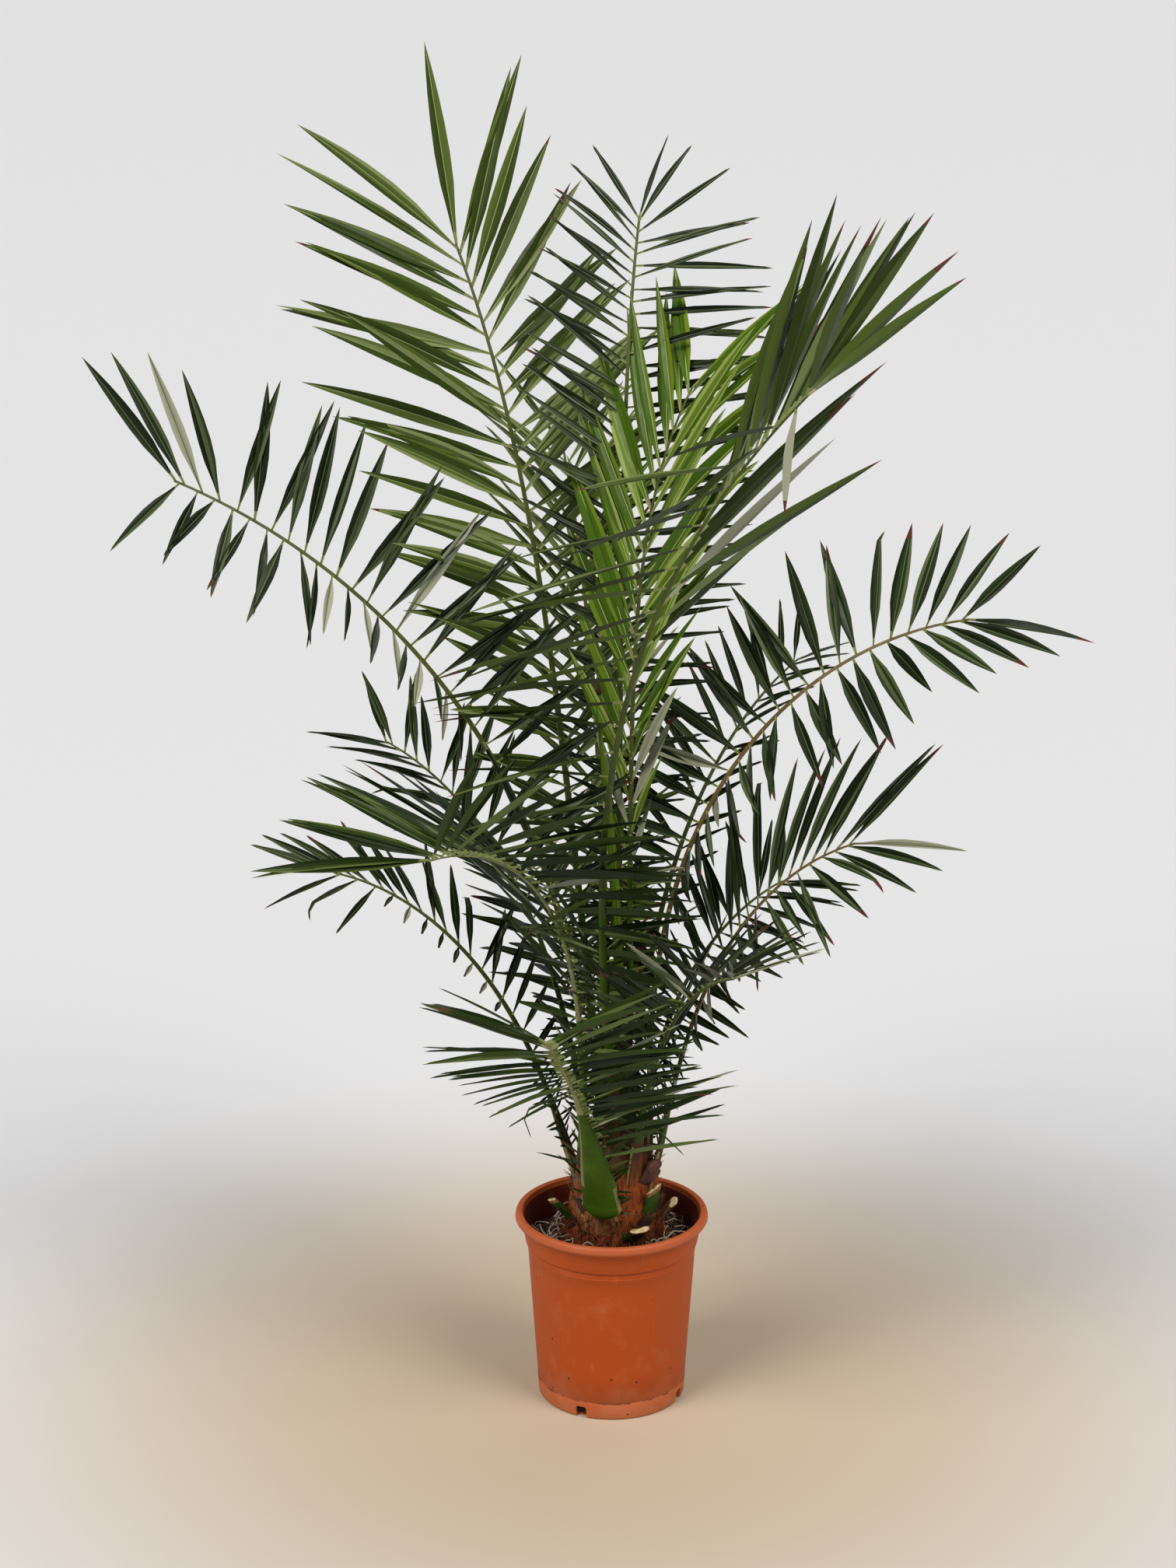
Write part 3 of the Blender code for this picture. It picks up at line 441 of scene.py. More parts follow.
def waxy_stalk(name, main, second, roughness=0.36):
    """The skin of a living leaf stalk: smooth and waxed, so it shines softly along its length,
    with fine lengthwise ribs under the wax and slow changes of green."""
    rib_mm, patch_mm = 0.9, 30
    made, tree, shader = start_material(name, roughness, 1.45, specular=0.2)
    place = add(tree, "TexCoord", {}).outputs["Object"]
    patches = add(tree, "TexNoise", {"Vector": place, "Scale": scale_of(patch_mm), "Detail": 3})
    tone = tinted(tree, main, second, patches, 0.38, 0.62)
    grain = add(tree, "UVMap", {}, uv_map="grain")
    drawn = add(tree, "Mapping", {"Vector": grain, "Scale": (1, 0.04, 1)})
    ribs = add(tree, "TexNoise", {"Vector": drawn, "Scale": scale_of(rib_mm), "Detail": 2})
    bump = add(tree, "Bump", {"Height": ribs, "Strength": 0.35, "Distance": 0.3 * MM})
    plug(shader, {"Base Color": tone, "Normal": bump})
    return made


def leaf_blade(name, colour, roughness=0.33):
    """A palm leaflet's leathery skin: parallel veins run its whole length under a thin wax, so
    light breaks into fine lines and the gloss is broad. The veins, 0.6 mm apart on a real one,
    are drawn twice as coarse so that they show. Its colour is plain, dealt out by leaflet."""
    vein_mm, wax_mm = 1.2, 24
    made, tree, shader = start_material(name, roughness, 1.42, specular=0.27)
    grain = add(tree, "UVMap", {}, uv_map="grain")
    drawn = add(tree, "Mapping", {"Vector": grain, "Scale": (1, 0.02, 1)})
    veins = add(tree, "TexNoise", {"Vector": drawn, "Scale": scale_of(vein_mm), "Detail": 1.5})
    bump = add(tree, "Bump", {"Height": veins, "Strength": 0.45, "Distance": 0.35 * MM})
    patches = add(tree, "TexNoise", {"Vector": grain, "Scale": scale_of(wax_mm), "Detail": 2})
    rough = add(tree, "MapRange", {
        "Value": patches, "From Min": 0.3, "From Max": 0.7,
        "To Min": roughness - 0.07, "To Max": roughness + 0.09})
    plug(shader, {"Base Color": colour, "Roughness": rough, "Normal": bump})
    return made


def dry_strand(name, colour):
    """A dry root or fibre: matt, and finely wrinkled across."""
    wrinkle_mm = 0.8
    made, tree, shader = start_material(name, 0.8, 1.4)
    place = add(tree, "TexCoord", {}).outputs["Object"]
    wrinkles = add(tree, "TexNoise", {"Vector": place, "Scale": scale_of(wrinkle_mm), "Detail": 2})
    bump = add(tree, "Bump", {"Height": wrinkles, "Strength": 0.5, "Distance": 0.3 * MM})
    plug(shader, {"Base Color": colour, "Normal": bump})
    return made


def cut_pith(name, pale, stain):
    """The cut face of an old leaf base: soft cream pith, open pored, stained as it dries."""
    pore_mm, stain_mm = 1.3, 7
    made, tree, shader = start_material(name, 0.85, 1.4)
    place = add(tree, "TexCoord", {}).outputs["Object"]
    pores = add(tree, "TexVoronoi", {"Vector": place, "Scale": scale_of(pore_mm)})
    stains = add(tree, "TexNoise", {"Vector": place, "Scale": scale_of(stain_mm), "Detail": 4})
    tone = tinted(tree, pale, stain, stains, 0.48, 0.72, 0.75)
    bump = add(tree, "Bump", {"Height": pores, "Strength": 0.5, "Distance": 0.5 * MM})
    plug(shader, {"Base Color": tone, "Normal": bump})
    return made


POT_SKIN = moulded_polypropylene("pot_polypropylene", "#B64B0A", "#C27C58", "#2B1A12", 0.05)
# the lip's paler colour is a painted highlight where light falls on the rim's rounded top
POT_LIP_LIT = moulded_polypropylene("pot_lip_lit_polypropylene", "#BC5E34", "#C98662", "#3A2318", 0.02)
# the inside is the same plastic, darkened as painted shade within the pot's walls
POT_INSIDE_SHADED = moulded_polypropylene("pot_inside_shaded_polypropylene", "#63230F", "#7A4030", "#1C110C", 0.02)
PEAT = peat("peat_and_bark", "#150D09", "#362318", "#574030")
CRUMB = peat("peat_crumb", "#20130D", "#4A3123", "#6E5543")
ROOT_THREAD = dry_strand("dry_root_thread", "#A29282")
ROOT_BROWN = dry_strand("brown_root_thread", "#5A3D30")
# the fresh colours are near black greens: young leaf bases darkened as painted shade under the crown
TRUNK_FIBRE = leaf_base_fibre("trunk_leaf_base_fibre", "#8A3C0E", "#96602F", "#24130A",
                              fresh_shaded="#151C08")
SHEATH_RUST = leaf_base_fibre("rust_sheath", "#93400D", "#A85A22", "#3A1A0A", fresh_shaded="#1E270D")
SHEATH_STRAW = leaf_base_fibre("straw_sheath", "#7C4A20", "#AC8050", "#2A160A", fresh_shaded="#232A10")
# near black green sheaths by the growing point: painted shade under the crown over their own green
SHEATH_FRESH_SHADED = waxy_stalk("fresh_shaded_sheath", "#1C2A08", "#2B3110", 0.5)
HUSK = leaf_base_fibre("old_husk", "#432419", "#70493A", "#180C08", stripe_mm=1.6, streak=3.0)
STRAND_TAN = dry_strand("tan_fibre_strand", "#946A40")
STRAND_RUST = dry_strand("rust_fibre_strand", "#803712")
STRAND_DARK = dry_strand("dark_fibre_strand", "#33200F")
SHEATH_MARGIN = dry_strand("sheath_margin", "#84834C")
STALK_GREEN = waxy_stalk("stalk_wax_green", "#365208", "#43600C", 0.45)
# a darker stalk green; on the low and back fronds that take the darkest look it is painted shade
STALK_DARK = waxy_stalk("stalk_wax_dark", "#2C3D12", "#3A461C")
RIB_OLIVE = waxy_stalk("rib_wax_olive", "#525B28", "#454E22")
RIB_TAN = waxy_stalk("rib_wax_tan", "#76633E", "#5F5530")
# a pale rib, partly the wax's own pale tone and partly a painted sheen along the low fronds' arch
RIB_PALE_SHEEN = waxy_stalk("rib_wax_pale_sheen", "#989C6C", "#7C8050")
PULVINUS = waxy_stalk("leaflet_cushion", "#A6AC62", "#8B944C", 0.42)
STUB_GREEN = waxy_stalk("stub_wax_green", "#31490F", "#3F541C", 0.5)
STUB_BARK = leaf_base_fibre("stub_bark", "#5A3820", "#8C6A4A", "#1E120B", stripe_mm=1.8, streak=6.0)
CUT_PITH = cut_pith("cut_pith", "#DDD0A6", "#A0865C")
LEAFLET_ROOT = leaf_blade("leaflet_root", "#848C55", 0.42)
SCORCHED_TIP = leaf_blade("scorched_tip", "#5A3526", 0.6)
BLEACHED = leaf_blade("bleached_leaflet", "#9DA089", 0.6)

# Each look: three leaflet tones, from common to rare, the midline's colour, the stalk's and the
# midrib's materials, then the shares of leaflets with scorched tips, bleached thin, kinked, and
# joined in pairs. The second tone is deeper and also paints shade on one half of a leaflet's fold;
# the third is paler, partly the leaf's grey bloom and partly a painted sheen.
Look = namedtuple("Look", "tones midline stalk rib scorched bleached kinked paired")
LOOKS = {
    "olive": Look(("#54652A", "#344415", "#838F5C"), "#8D9866", STALK_GREEN, RIB_OLIVE,
                  0.15, 0.02, 0.0, 0.3),
    "scorched_olive": Look(("#475722", "#2A3611", "#6B7A48"), "#7F8B5E", STALK_GREEN, RIB_OLIVE,
                           0.5, 0.02, 0.0, 0.3),
    "dusky": Look(("#28351C", "#17210E", "#4D593A"), "#586347", STALK_GREEN, RIB_OLIVE,
                  0.2, 0.03, 0.02, 0.6),
    "scorched": Look(("#2D3C1F", "#19240F", "#56643F"), "#5F6C4A", STALK_DARK, RIB_TAN,
                     0.6, 0.02, 0.03, 0.35),
    "young": Look(("#668020", "#436011", "#96AA54"), "#AEBC78", STALK_GREEN, RIB_OLIVE,
                  0.1, 0.08, 0.0, 0.2),
    # This look's near black greens are painted shade, for the fronds low down and at the back under the
    # crown; its darker stalk is painted shade too.
    "shade": Look(("#1C2A0E", "#0F1905", "#3A4923"), "#4A572F", STALK_DARK, RIB_OLIVE,
                  0.3, 0.03, 0.05, 0.3),
    "low_olive": Look(("#2F4015", "#1A2908", "#5A6A36"), "#68754C", STALK_GREEN, RIB_PALE_SHEEN,
                      0.05, 0.02, 0.03, 0.3),
}


def blade_finishes():
    """For each look, the materials of its three tones and its midline."""
    made = {}
    for name, look in LOOKS.items():
        colours = dict(zip(("common", "deep_and_shade", "faded_and_sheen"), look.tones), midline=look.midline)
        made[name] = [leaf_blade(f"{name}_{part}", colour) for part, colour in colours.items()]
    return made


BLADES = blade_finishes()

# Shapes ----------------------------------------------------------------------------------


class Shape:
    """What one piece is made of: points with their place in the grain, and faces with finishes.
    A finish is a number in the piece's list of materials. Where faces go round a ring, it may
    also be a row of numbers that repeats round it."""

    def __init__(self):
        self.points = []
        self.grain = []
        self.faces = []
        self.finishes = []

    def ring(self, points, grain):
        """Adds points with their (across, along) in metres, and returns their numbers."""
        first = len(self.points)
        self.points += points
        self.grain += grain
        return list(range(first, len(self.points)))

    def face(self, corners, finish, place=0):
        self.faces.append(tuple(corners))
        self.finishes.append(finish if isinstance(finish, int) else finish[place % len(finish)])

    def join(self, low, high, finish):
        """Faces between two rings of as many points."""
        for place, (start, above) in enumerate(zip(low, high)):
            beside = (place + 1) % len(low)
            self.face((start, low[beside], high[beside], above), finish, place)

    def point_up(self, ring, tip, finish):
        for place, start in enumerate(ring):
            self.face((start, ring[(place + 1) % len(ring)], tip), finish, place)

    def loft(self, rings, finish):
        """A closed body through the rings: its sides, then its two ends."""
        for low, high in zip(rings, rings[1:]):
            self.join(low, high, finish)
        self.face(reversed(rings[0]), finish)
        self.face(rings[-1], finish)


def piece(name, shape, materials, nodes=(), crease=38):
    """A mesh object of the shape, its faces turned outward, that rides with the pot and plant."""
    mesh = bpy.data.meshes.new(name)
    mesh.from_pydata([tuple(point) for point in shape.points], [], shape.faces)
    for material in materials:
        mesh.materials.append(material)
    mesh.polygons.foreach_set("material_index", shape.finishes)
    at_corner = np.empty(len(mesh.loops), np.int32)
    mesh.loops.foreach_get("vertex_index", at_corner)
    grain = mesh.uv_layers.new(name="grain")
    grain.uv.foreach_set("vector", np.array(shape.grain, np.float32)[at_corner].ravel())
    turned = bmesh.new()
    turned.from_mesh(mesh)
    bmesh.ops.recalc_face_normals(turned, faces=turned.faces)
    turned.to_mesh(mesh)
    turned.free()
    mesh.shade_smooth()
    mesh.set_sharp_from_angle(angle=math.radians(crease))
    made = bpy.data.objects.new(name, mesh)
    bpy.context.scene.collection.objects.link(made)
    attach(made, "root")
    if nodes:
        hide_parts(*nodes)
    return made


def tube(shape, points, radii, sides, finish):
    """A closed round strand through the points, with its radius at each."""
    rings = []
    side = None
    travelled = 0.0
    for index, (point, radius) in enumerate(zip(points, radii)):
        before, after = points[max(0, index - 1)], points[min(len(points) - 1, index + 1)]
        along = (after - before).normalized()
        if side is None:
            side = along.orthogonal().normalized()
        side = (side - along * side.dot(along)).normalized()
        other = along.cross(side)
        travelled += (point - before).length
        ring = [point + (side * across + other * up) * radius for across, up in turns(sides)]
        rings.append(shape.ring(ring, [(radius * n, travelled) for n in range(sides)]))
    shape.loft(rings, finish)


BRISTLE_RADII = (0.0005, 0.0004, 0.0003, 0.00015)


def bristle(shape, start, way, length, sag, finish):
    """A short stray fibre whose end hangs this far below its own straight line."""
    points = [start + way * length * step / 3 - UP * sag * (step / 3) ** 2 for step in range(4)]
    tube(shape, points, BRISTLE_RADII, 4, finish)


# The pot ---------------------------------------------------------------------------------

POT_STEPS = 144
LIP_ROUND = 0.0042  # radius of the rolled lip's lower and upper edges
FINE_LINES = (0.010, 0.0062)  # how far below the collar the two fine moulded lines run
FINE_LINE_HALF_WIDTH = 0.0006
FINE_LINE_STEP = 0.0004
NOTCH_DEPTH = 0.013
NOTCH_CORNER = 0.0035
NOTCH_CUTS_BELOW = 0.002
SEAM_ANGLES = (289, 109)
SEAM_RADIUS = 0.0005
SEAM_STEPS = 6


def wall_radius(height):
    return mix(POT_BASE_RADIUS, POT_TOP_RADIUS, height / (POT_HEIGHT - POT_LIP_HEIGHT))


def arc(centre, radius, start, end, count):
    """(radius, height) points on part of a circle, angles in degrees from straight outward."""
    made = []
    for index in range(count):
        turn = math.radians(mix(start, end, index / (count - 1)))
        made.append((centre[0] + radius * math.cos(turn), centre[1] + radius * math.sin(turn)))
    return made


def pot_profile():
    """(radius, height, finish) from the middle of the underside, up the outside and down inside."""
    skin, lip, inside = 0, 1, 2
    lip_foot = POT_HEIGHT - POT_LIP_HEIGHT
    ledge = wall_radius(BASE_BAND_HEIGHT)
    collar = wall_radius(COLLAR_FOOT_HEIGHT)
    outer = [(0.0, 0.0015), (POT_BASE_RADIUS - 0.012, 0.0015), (POT_BASE_RADIUS - 0.009, 0.0)]
    outer += arc((POT_BASE_RADIUS - 0.003, 0.003), 0.003, -90, -5, 5)
    outer += [
        (ledge - 0.0002, BASE_BAND_HEIGHT - 0.0012),
        (ledge - 0.0009, BASE_BAND_HEIGHT - 0.0002),
        (ledge - 0.0014, BASE_BAND_HEIGHT + 0.0004),
        (ledge - 0.0005, BASE_BAND_HEIGHT + 0.0014),
    ]
    outer += [(wall_radius(height) - BASE_BAND_STEP, height) for height in (0.06, 0.10, 0.14, 0.17)]
    for below in FINE_LINES:
        height = COLLAR_FOOT_HEIGHT - below
        base = wall_radius(height) - COLLAR_STEP
        outer += [(base, height - FINE_LINE_HALF_WIDTH), (base + FINE_LINE_STEP, height),
                  (base, height + FINE_LINE_HALF_WIDTH)]
    outer += [(collar - COLLAR_STEP - 0.0004, COLLAR_FOOT_HEIGHT - 0.0012)]
    outer += arc((collar + COLLAR_STEP - 0.0012, COLLAR_FOOT_HEIGHT + 0.0006), 0.0012, -80, 0, 4)
    outer += [
        (POT_TOP_RADIUS + 0.0018, lip_foot - 0.014),
        (POT_TOP_RADIUS + 0.0030, lip_foot - 0.006),
        (POT_TOP_RADIUS + 0.0044, lip_foot - 0.0018),
    ]
    rim = arc((POT_RIM_RADIUS - LIP_ROUND, lip_foot + LIP_ROUND), LIP_ROUND, -88, 0, 6)
    rim += arc((POT_RIM_RADIUS - LIP_ROUND - 0.0006, POT_HEIGHT - LIP_ROUND), LIP_ROUND, 8, 90, 7)
    rim += [(POT_LIP_INNER_RADIUS + 0.0022, POT_HEIGHT - 0.0004)]
    rim += arc((POT_LIP_INNER_RADIUS + 0.0016, POT_HEIGHT - 0.0020), 0.0016, 90, 180, 4)
    inner = [
        (POT_LIP_INNER_RADIUS - 0.0016, POT_HEIGHT - 0.0065),
        (POT_TOP_RADIUS - POT_WALL, lip_foot - 0.004),
        (mix(POT_BASE_RADIUS, POT_TOP_RADIUS, 0.5) - POT_WALL, 0.115),
        (POT_BASE_RADIUS - POT_WALL - 0.002, POT_FLOOR + 0.001),
        (0.0, POT_FLOOR),
    ]
    stretches = ((outer, skin), (rim, lip), (inner, inside))
    return [(*point, finish) for points, finish in stretches for point in points]


def make_pot():
    """The turned pot; the drain notches are cut through its base corner afterwards."""
    shape = Shape()
    profile = pot_profile()
    rings = []
    travelled = 0.0
    for index, (radius, height, _) in enumerate(profile):
        if index:
            travelled += math.dist(profile[index - 1][:2], (radius, height))
        if radius == 0:
            rings.append(shape.ring([Vector((0, 0, height))], [(0, travelled)]))
            continue
        ring, grain = [], []
        for step in range(POT_STEPS):
            angle = 360 * step / POT_STEPS
            ring.append(compass(angle) * radius + UP * height)
            grain.append((radius * math.radians(angle), travelled))
        rings.append(shape.ring(ring, grain))
    shape.point_up(rings[1], rings[0][0], profile[0][2])
    for (_, _, finish), low, high in zip(profile[1:], rings[1:], rings[2:-1]):
        shape.join(low, high, finish)
    shape.point_up(rings[-2], rings[-1][0], profile[-1][2])
    pot = piece("nursery_pot", shape, [POT_SKIN, POT_LIP_LIT, POT_INSIDE_SHADED],
                ["pot"], crease=50)
    cut_notches(pot)
    add_seams(pot)


def cut_notches(pot):
    """Cuts the four drain notches, with rounded upper corners, through the pot's base corner."""
    for number, angle in enumerate(NOTCH_ANGLES):
        shape = bmesh.new()
        bmesh.ops.create_cube(shape, size=1)
        bmesh.ops.scale(shape, verts=shape.verts,
                        vec=(NOTCH_DEPTH, NOTCH_WIDTH, NOTCH_HEIGHT + NOTCH_CUTS_BELOW))
        upper = [edge for edge in shape.edges
                 if abs(edge.verts[0].co.x - edge.verts[1].co.x) > NOTCH_DEPTH / 2
                 and edge.verts[0].co.z > 0]
        bmesh.ops.bevel(shape, geom=upper, offset=NOTCH_CORNER, segments=4, affect="EDGES",
                        profile=0.5)
        mesh = bpy.data.meshes.new("notch")
        shape.to_mesh(mesh)
        shape.free()
        cutter = bpy.data.objects.new("notch", mesh)
        bpy.context.scene.collection.objects.link(cutter)
        cutter.location = compass(angle) * POT_BASE_RADIUS
        cutter.location.z = (NOTCH_HEIGHT - NOTCH_CUTS_BELOW) / 2
        cutter.rotation_euler.z = math.radians(angle)
        cut = pot.modifiers.new(f"notch_{number}", "BOOLEAN")
        cut.operation = "DIFFERENCE"
        cut.object = cutter
        bpy.context.view_layer.update()
        graph = bpy.context.evaluated_depsgraph_get()
        solid = bpy.data.meshes.new_from_object(pot.evaluated_get(graph))
        pot.modifiers.clear()
        pot.data = solid
        bpy.data.objects.remove(cutter)


def add_seams(pot):
    """Two fine mould seams that run up the collar, raised from the wall."""
    foot, top = COLLAR_FOOT_HEIGHT + 0.003, POT_HEIGHT - POT_LIP_HEIGHT - 0.003
    for angle in SEAM_ANGLES:
        shape = Shape()
        points = []
        for index in range(SEAM_STEPS + 1):
            share = index / SEAM_STEPS
            radius = mix(POT_TOP_RADIUS - 0.0002, POT_TOP_RADIUS + 0.0034, share) - 0.0001
            points.append(compass(angle) * radius + UP * mix(foot, top, share))
        tube(shape, points, [SEAM_RADIUS] * len(points), 6, 0)
        seam = piece(f"pot_seam_{angle}", shape, [POT_SKIN])
        seam.parent = pot


# The soil --------------------------------------------------------------------------------

SOIL_STEPS = 160
SOIL_ROWS = 44
SOIL_CLEARANCE = 0.0008  # from the pot's wall and floor
CRUMBS = 900
CRUMB_CORNERS = 5
CRUMB_RINGS = ((-0.8, 0.5), (0.0, 1.0), (0.7, 0.6))  # (height, width) of a crumb's three rings
CRUMB_SIZES = (0.0010, 0.0052)
CRUMB_STRETCHES = ((0.6, 1.6), (0.6, 1.2), (0.4, 0.9))
THREADS = 110
THREAD_STEPS = 8
THREAD_RADII = (0.0007, 0.0015)
THREAD_LENGTHS = (0.022, 0.064)
THREAD_CURL = 80
THREAD_HOPS = (0.001, 0.014)  # how high the middle of one arches over the soil
THREAD_LIES = 0.0006  # and its ends
PALE_THREADS = 0.6
TANGLES = ((198, 24), (-14, 30))  # (middle, spread) of the angles of the two tangles
TANGLE_RADII = (0.064, 0.094)
CLEAR_OF_WALL = 0.0020  # how far root threads keep from the pot's wall


def soil_height(x, y):
    """Uneven fill: humps a few centimetres across, and lower at the pot's wall."""
    place = Vector((x, y, 0))
    humps = noise.noise(place * 32) * 0.0065 + noise.noise(place * 95 + UP) * 0.0045
    crumbs = noise.noise(place * 260 + UP * 3) * 0.0022
    radius = math.hypot(x, y)
    return SOIL_TOP + 0.004 + humps + crumbs - 0.004 * smooth((radius - 0.075) / 0.03)


def make_soil(chance):
    """The fill: one closed crumbly body that keeps clear of the pot, and what lies on it."""
    edge = wall_radius(SOIL_TOP) - POT_WALL - SOIL_CLEARANCE
    shape = Shape()
    middle = shape.ring([Vector((0, 0, soil_height(0, 0)))], [(0, 0)])[0]
    rings = []
    for row in range(1, SOIL_ROWS + 1):
        radius = edge * row / SOIL_ROWS
        ring = []
        for step in range(SOIL_STEPS):
            flat = compass(360 * step / SOIL_STEPS) * radius
            ring.append(flat + UP * soil_height(flat.x, flat.y))
        rings.append(shape.ring(ring, [(p.x, p.y) for p in ring]))
    shape.point_up(rings[0], middle, 0)
    foot_radius = POT_BASE_RADIUS - POT_WALL - 0.0026
    foot = [compass(360 * step / SOIL_STEPS) * foot_radius + UP * (POT_FLOOR + 0.0006)
            for step in range(SOIL_STEPS)]
    rings.append(shape.ring(foot, [(0, 0)] * SOIL_STEPS))
    for low, high in zip(rings, rings[1:]):
        shape.join(low, high, 0)
    shape.face(rings[-1], 0)
    piece("soil", shape, [PEAT], ["soil"], crease=80)
    make_crumbs(chance, edge)
    make_threads(chance, edge)


def soil_place(chance, edge):
    """A random place on the soil, between the trunk and the wall."""
    spot = compass(chance.uniform(0, 360)) * math.sqrt(chance.uniform(0.30, 0.93)) * edge
    return spot + UP * soil_height(spot.x, spot.y)


def make_crumbs(chance, edge):
    """Crumbs of peat and chips of bark that lie on the soil."""
    crumbs = Shape()
    for number in range(CRUMBS):
        middle = soil_place(chance, edge)
        size = chance.uniform(*CRUMB_SIZES) * chance.uniform(0.6, 1)
        if middle.xy.length + size * 1.6 > edge:
            continue
        axis = Vector([chance.uniform(-1, 1) for _ in range(3)]).normalized()
        turn = Quaternion(axis, chance.uniform(0, 6))
        stretch = Vector([chance.uniform(*reach) for reach in CRUMB_STRETCHES])
        rings = []
        for height, spread in CRUMB_RINGS:
            ring = []
            for corner in range(CRUMB_CORNERS):
                knock = chance.uniform(0.75, 1.2)
                point = compass(72 * corner) * spread * knock + UP * height
                point = Vector([a * b for a, b in zip(point, stretch)]) * size
                ring.append(middle + turn @ point)
            rings.append(crumbs.ring(ring, [(p.x, p.y) for p in ring]))
        crumbs.loft(rings, number % 2)
    piece("soil_crumbs", crumbs, [CRUMB, PEAT], crease=30)


def make_threads(chance, edge):
    """Dry root threads, curled on the soil, in tangles at the left and the right of the trunk."""
    threads = Shape()
    pale, brown = 0, 1
    for number in range(THREADS):
        if number % 3:
            side = compass(chance.gauss(*TANGLES[number % 2]))
            spot = side * chance.uniform(*TANGLE_RADII)
        else:
            spot = soil_place(chance, edge)
        heading = chance.uniform(0, 360)
        length = chance.uniform(*THREAD_LENGTHS)
        curl = chance.gauss(0, THREAD_CURL)
        hop = chance.uniform(*THREAD_HOPS)
        points = []
        place = Vector((spot.x, spot.y, 0))
        for index in range(THREAD_STEPS + 1):
            share = index / THREAD_STEPS
            if place.xy.length > edge - CLEAR_OF_WALL:
                place.xy = place.xy.normalized() * (edge - CLEAR_OF_WALL)
            height = soil_height(place.x, place.y) + THREAD_LIES + hop * math.sin(math.pi * share)
            points.append(Vector((place.x, place.y, height)))
            way = compass(heading + curl * share + 30 * math.sin(9 * share))
            place += way * length / THREAD_STEPS
        thick = chance.uniform(*THREAD_RADII)
        radii = [thick * mix(1, 0.4, index / THREAD_STEPS) for index in range(THREAD_STEPS + 1)]
        tube(threads, points, radii, 5, pale if chance.random() < PALE_THREADS else brown)
    piece("soil_root_threads", threads, [ROOT_THREAD, ROOT_BROWN])


# The trunk -------------------------------------------------------------------------------

TRUNK_STEPS = 180
TRUNK_ROWS = 90
RANK_HEIGHT = 0.019  # of one rank of old leaf bases in the bark
SHEATH_COUNT = 34
SHEATH_TURN = 137.5  # between one leaf base and the next one up
SHEATH_THICKNESS = 0.0012
SHEATH_FEET = (0.002, 0.205)  # of the lowest and the highest one, above the soil
SHEATH_LENGTHS = (0.052, 0.085)
SHEATH_SPREADS = (46, 74)  # half the angle that it wraps
SHEATH_ROWS, SHEATH_COLUMNS = 11, 13
WEATHERED_SIDE = 190  # angle of the side that has paled to straw
WEATHERED_FROM = 0.022  # height above the soil from which it has
FIBRES = 900
FIBRE_STEPS = 6
FIBRE_RADII = (0.00025, 0.0007)
FIBRE_LENGTHS = (0.018, 0.060)
MAT_FEET, SKIRT_FEET = (0.004, 0.135), (0.010, 0.050)  # where strands start, above the soil
MAT_STANDS, STRAY_STANDS, SKIRT_STANDS = (0.0005, 0.003), (0.002, 0.012), (0.002, 0.020)
STRAY_SHARE = 0.25
DARK_SHARE = 0.25
FOOT_IS_RUST_UP_TO = 0.030  # above the soil


def trunk_axis(height):
    return Vector((TRUNK_CENTRE[0] + TRUNK_LEAN * (height - SOIL_TOP), TRUNK_CENTRE[1], height))


def trunk_relief(angle, height):
    """How far the bark stands off its smooth taper: ranks of old leaf bases, each a shield that
    overlaps the next above, cut by coarse upright fibres."""
    turn = math.radians(angle)
    rank = height / RANK_HEIGHT + 0.5 * math.sin(turn * 3)
    across = (angle / 45 + 0.5 * (math.floor(rank) % 2)) % 1
    up = rank % 1
    shield = (1 - abs(across - 0.5) * 1.5) * (1 - up) ** 0.7
    fibres = noise.noise(Vector((math.cos(turn) * 26, math.sin(turn) * 26, height * 28)))
    fine = noise.noise(Vector((math.cos(turn) * 75, math.sin(turn) * 75, height * 60)))
    lumps = noise.noise(Vector((math.cos(turn) * 2.1, math.sin(turn) * 2.1, height * 24 + 7)))
    return 0.0036 * shield + 0.0022 * fibres + 0.0012 * fine + 0.0026 * lumps - 0.0035


def trunk_radius(angle, height):
    """The bark's own surface at this angle and height."""
    radius = along_table(TRUNK_TAPER, max(0, height - SOIL_TOP))
    return radius + trunk_relief(angle, height) * smooth(radius / 0.03)


def make_trunk(chance):
    """The bark, from just under the soil to the growing point, and all that stands on it."""
    shape = Shape()
    foot = SOIL_TOP - 0.004
    top = SOIL_TOP + TRUNK_TAPER[-1][0]
    rings = []
    for row in range(TRUNK_ROWS + 1):
        height = mix(foot, top, row / TRUNK_ROWS)
        ring, grain = [], []
        for step in range(TRUNK_STEPS):
            angle = 360 * step / TRUNK_STEPS
            radius = trunk_radius(angle, height)
            ring.append(trunk_axis(height) + compass(angle) * radius)
            grain.append((radius * math.radians(angle), height))
        rings.append(shape.ring(ring, grain))
    shape.loft(rings, 0)
    piece("trunk_bark", shape, [TRUNK_FIBRE], ["trunk"], crease=80)
    make_sheaths()
    make_husks(chance)
    make_fibres(chance)


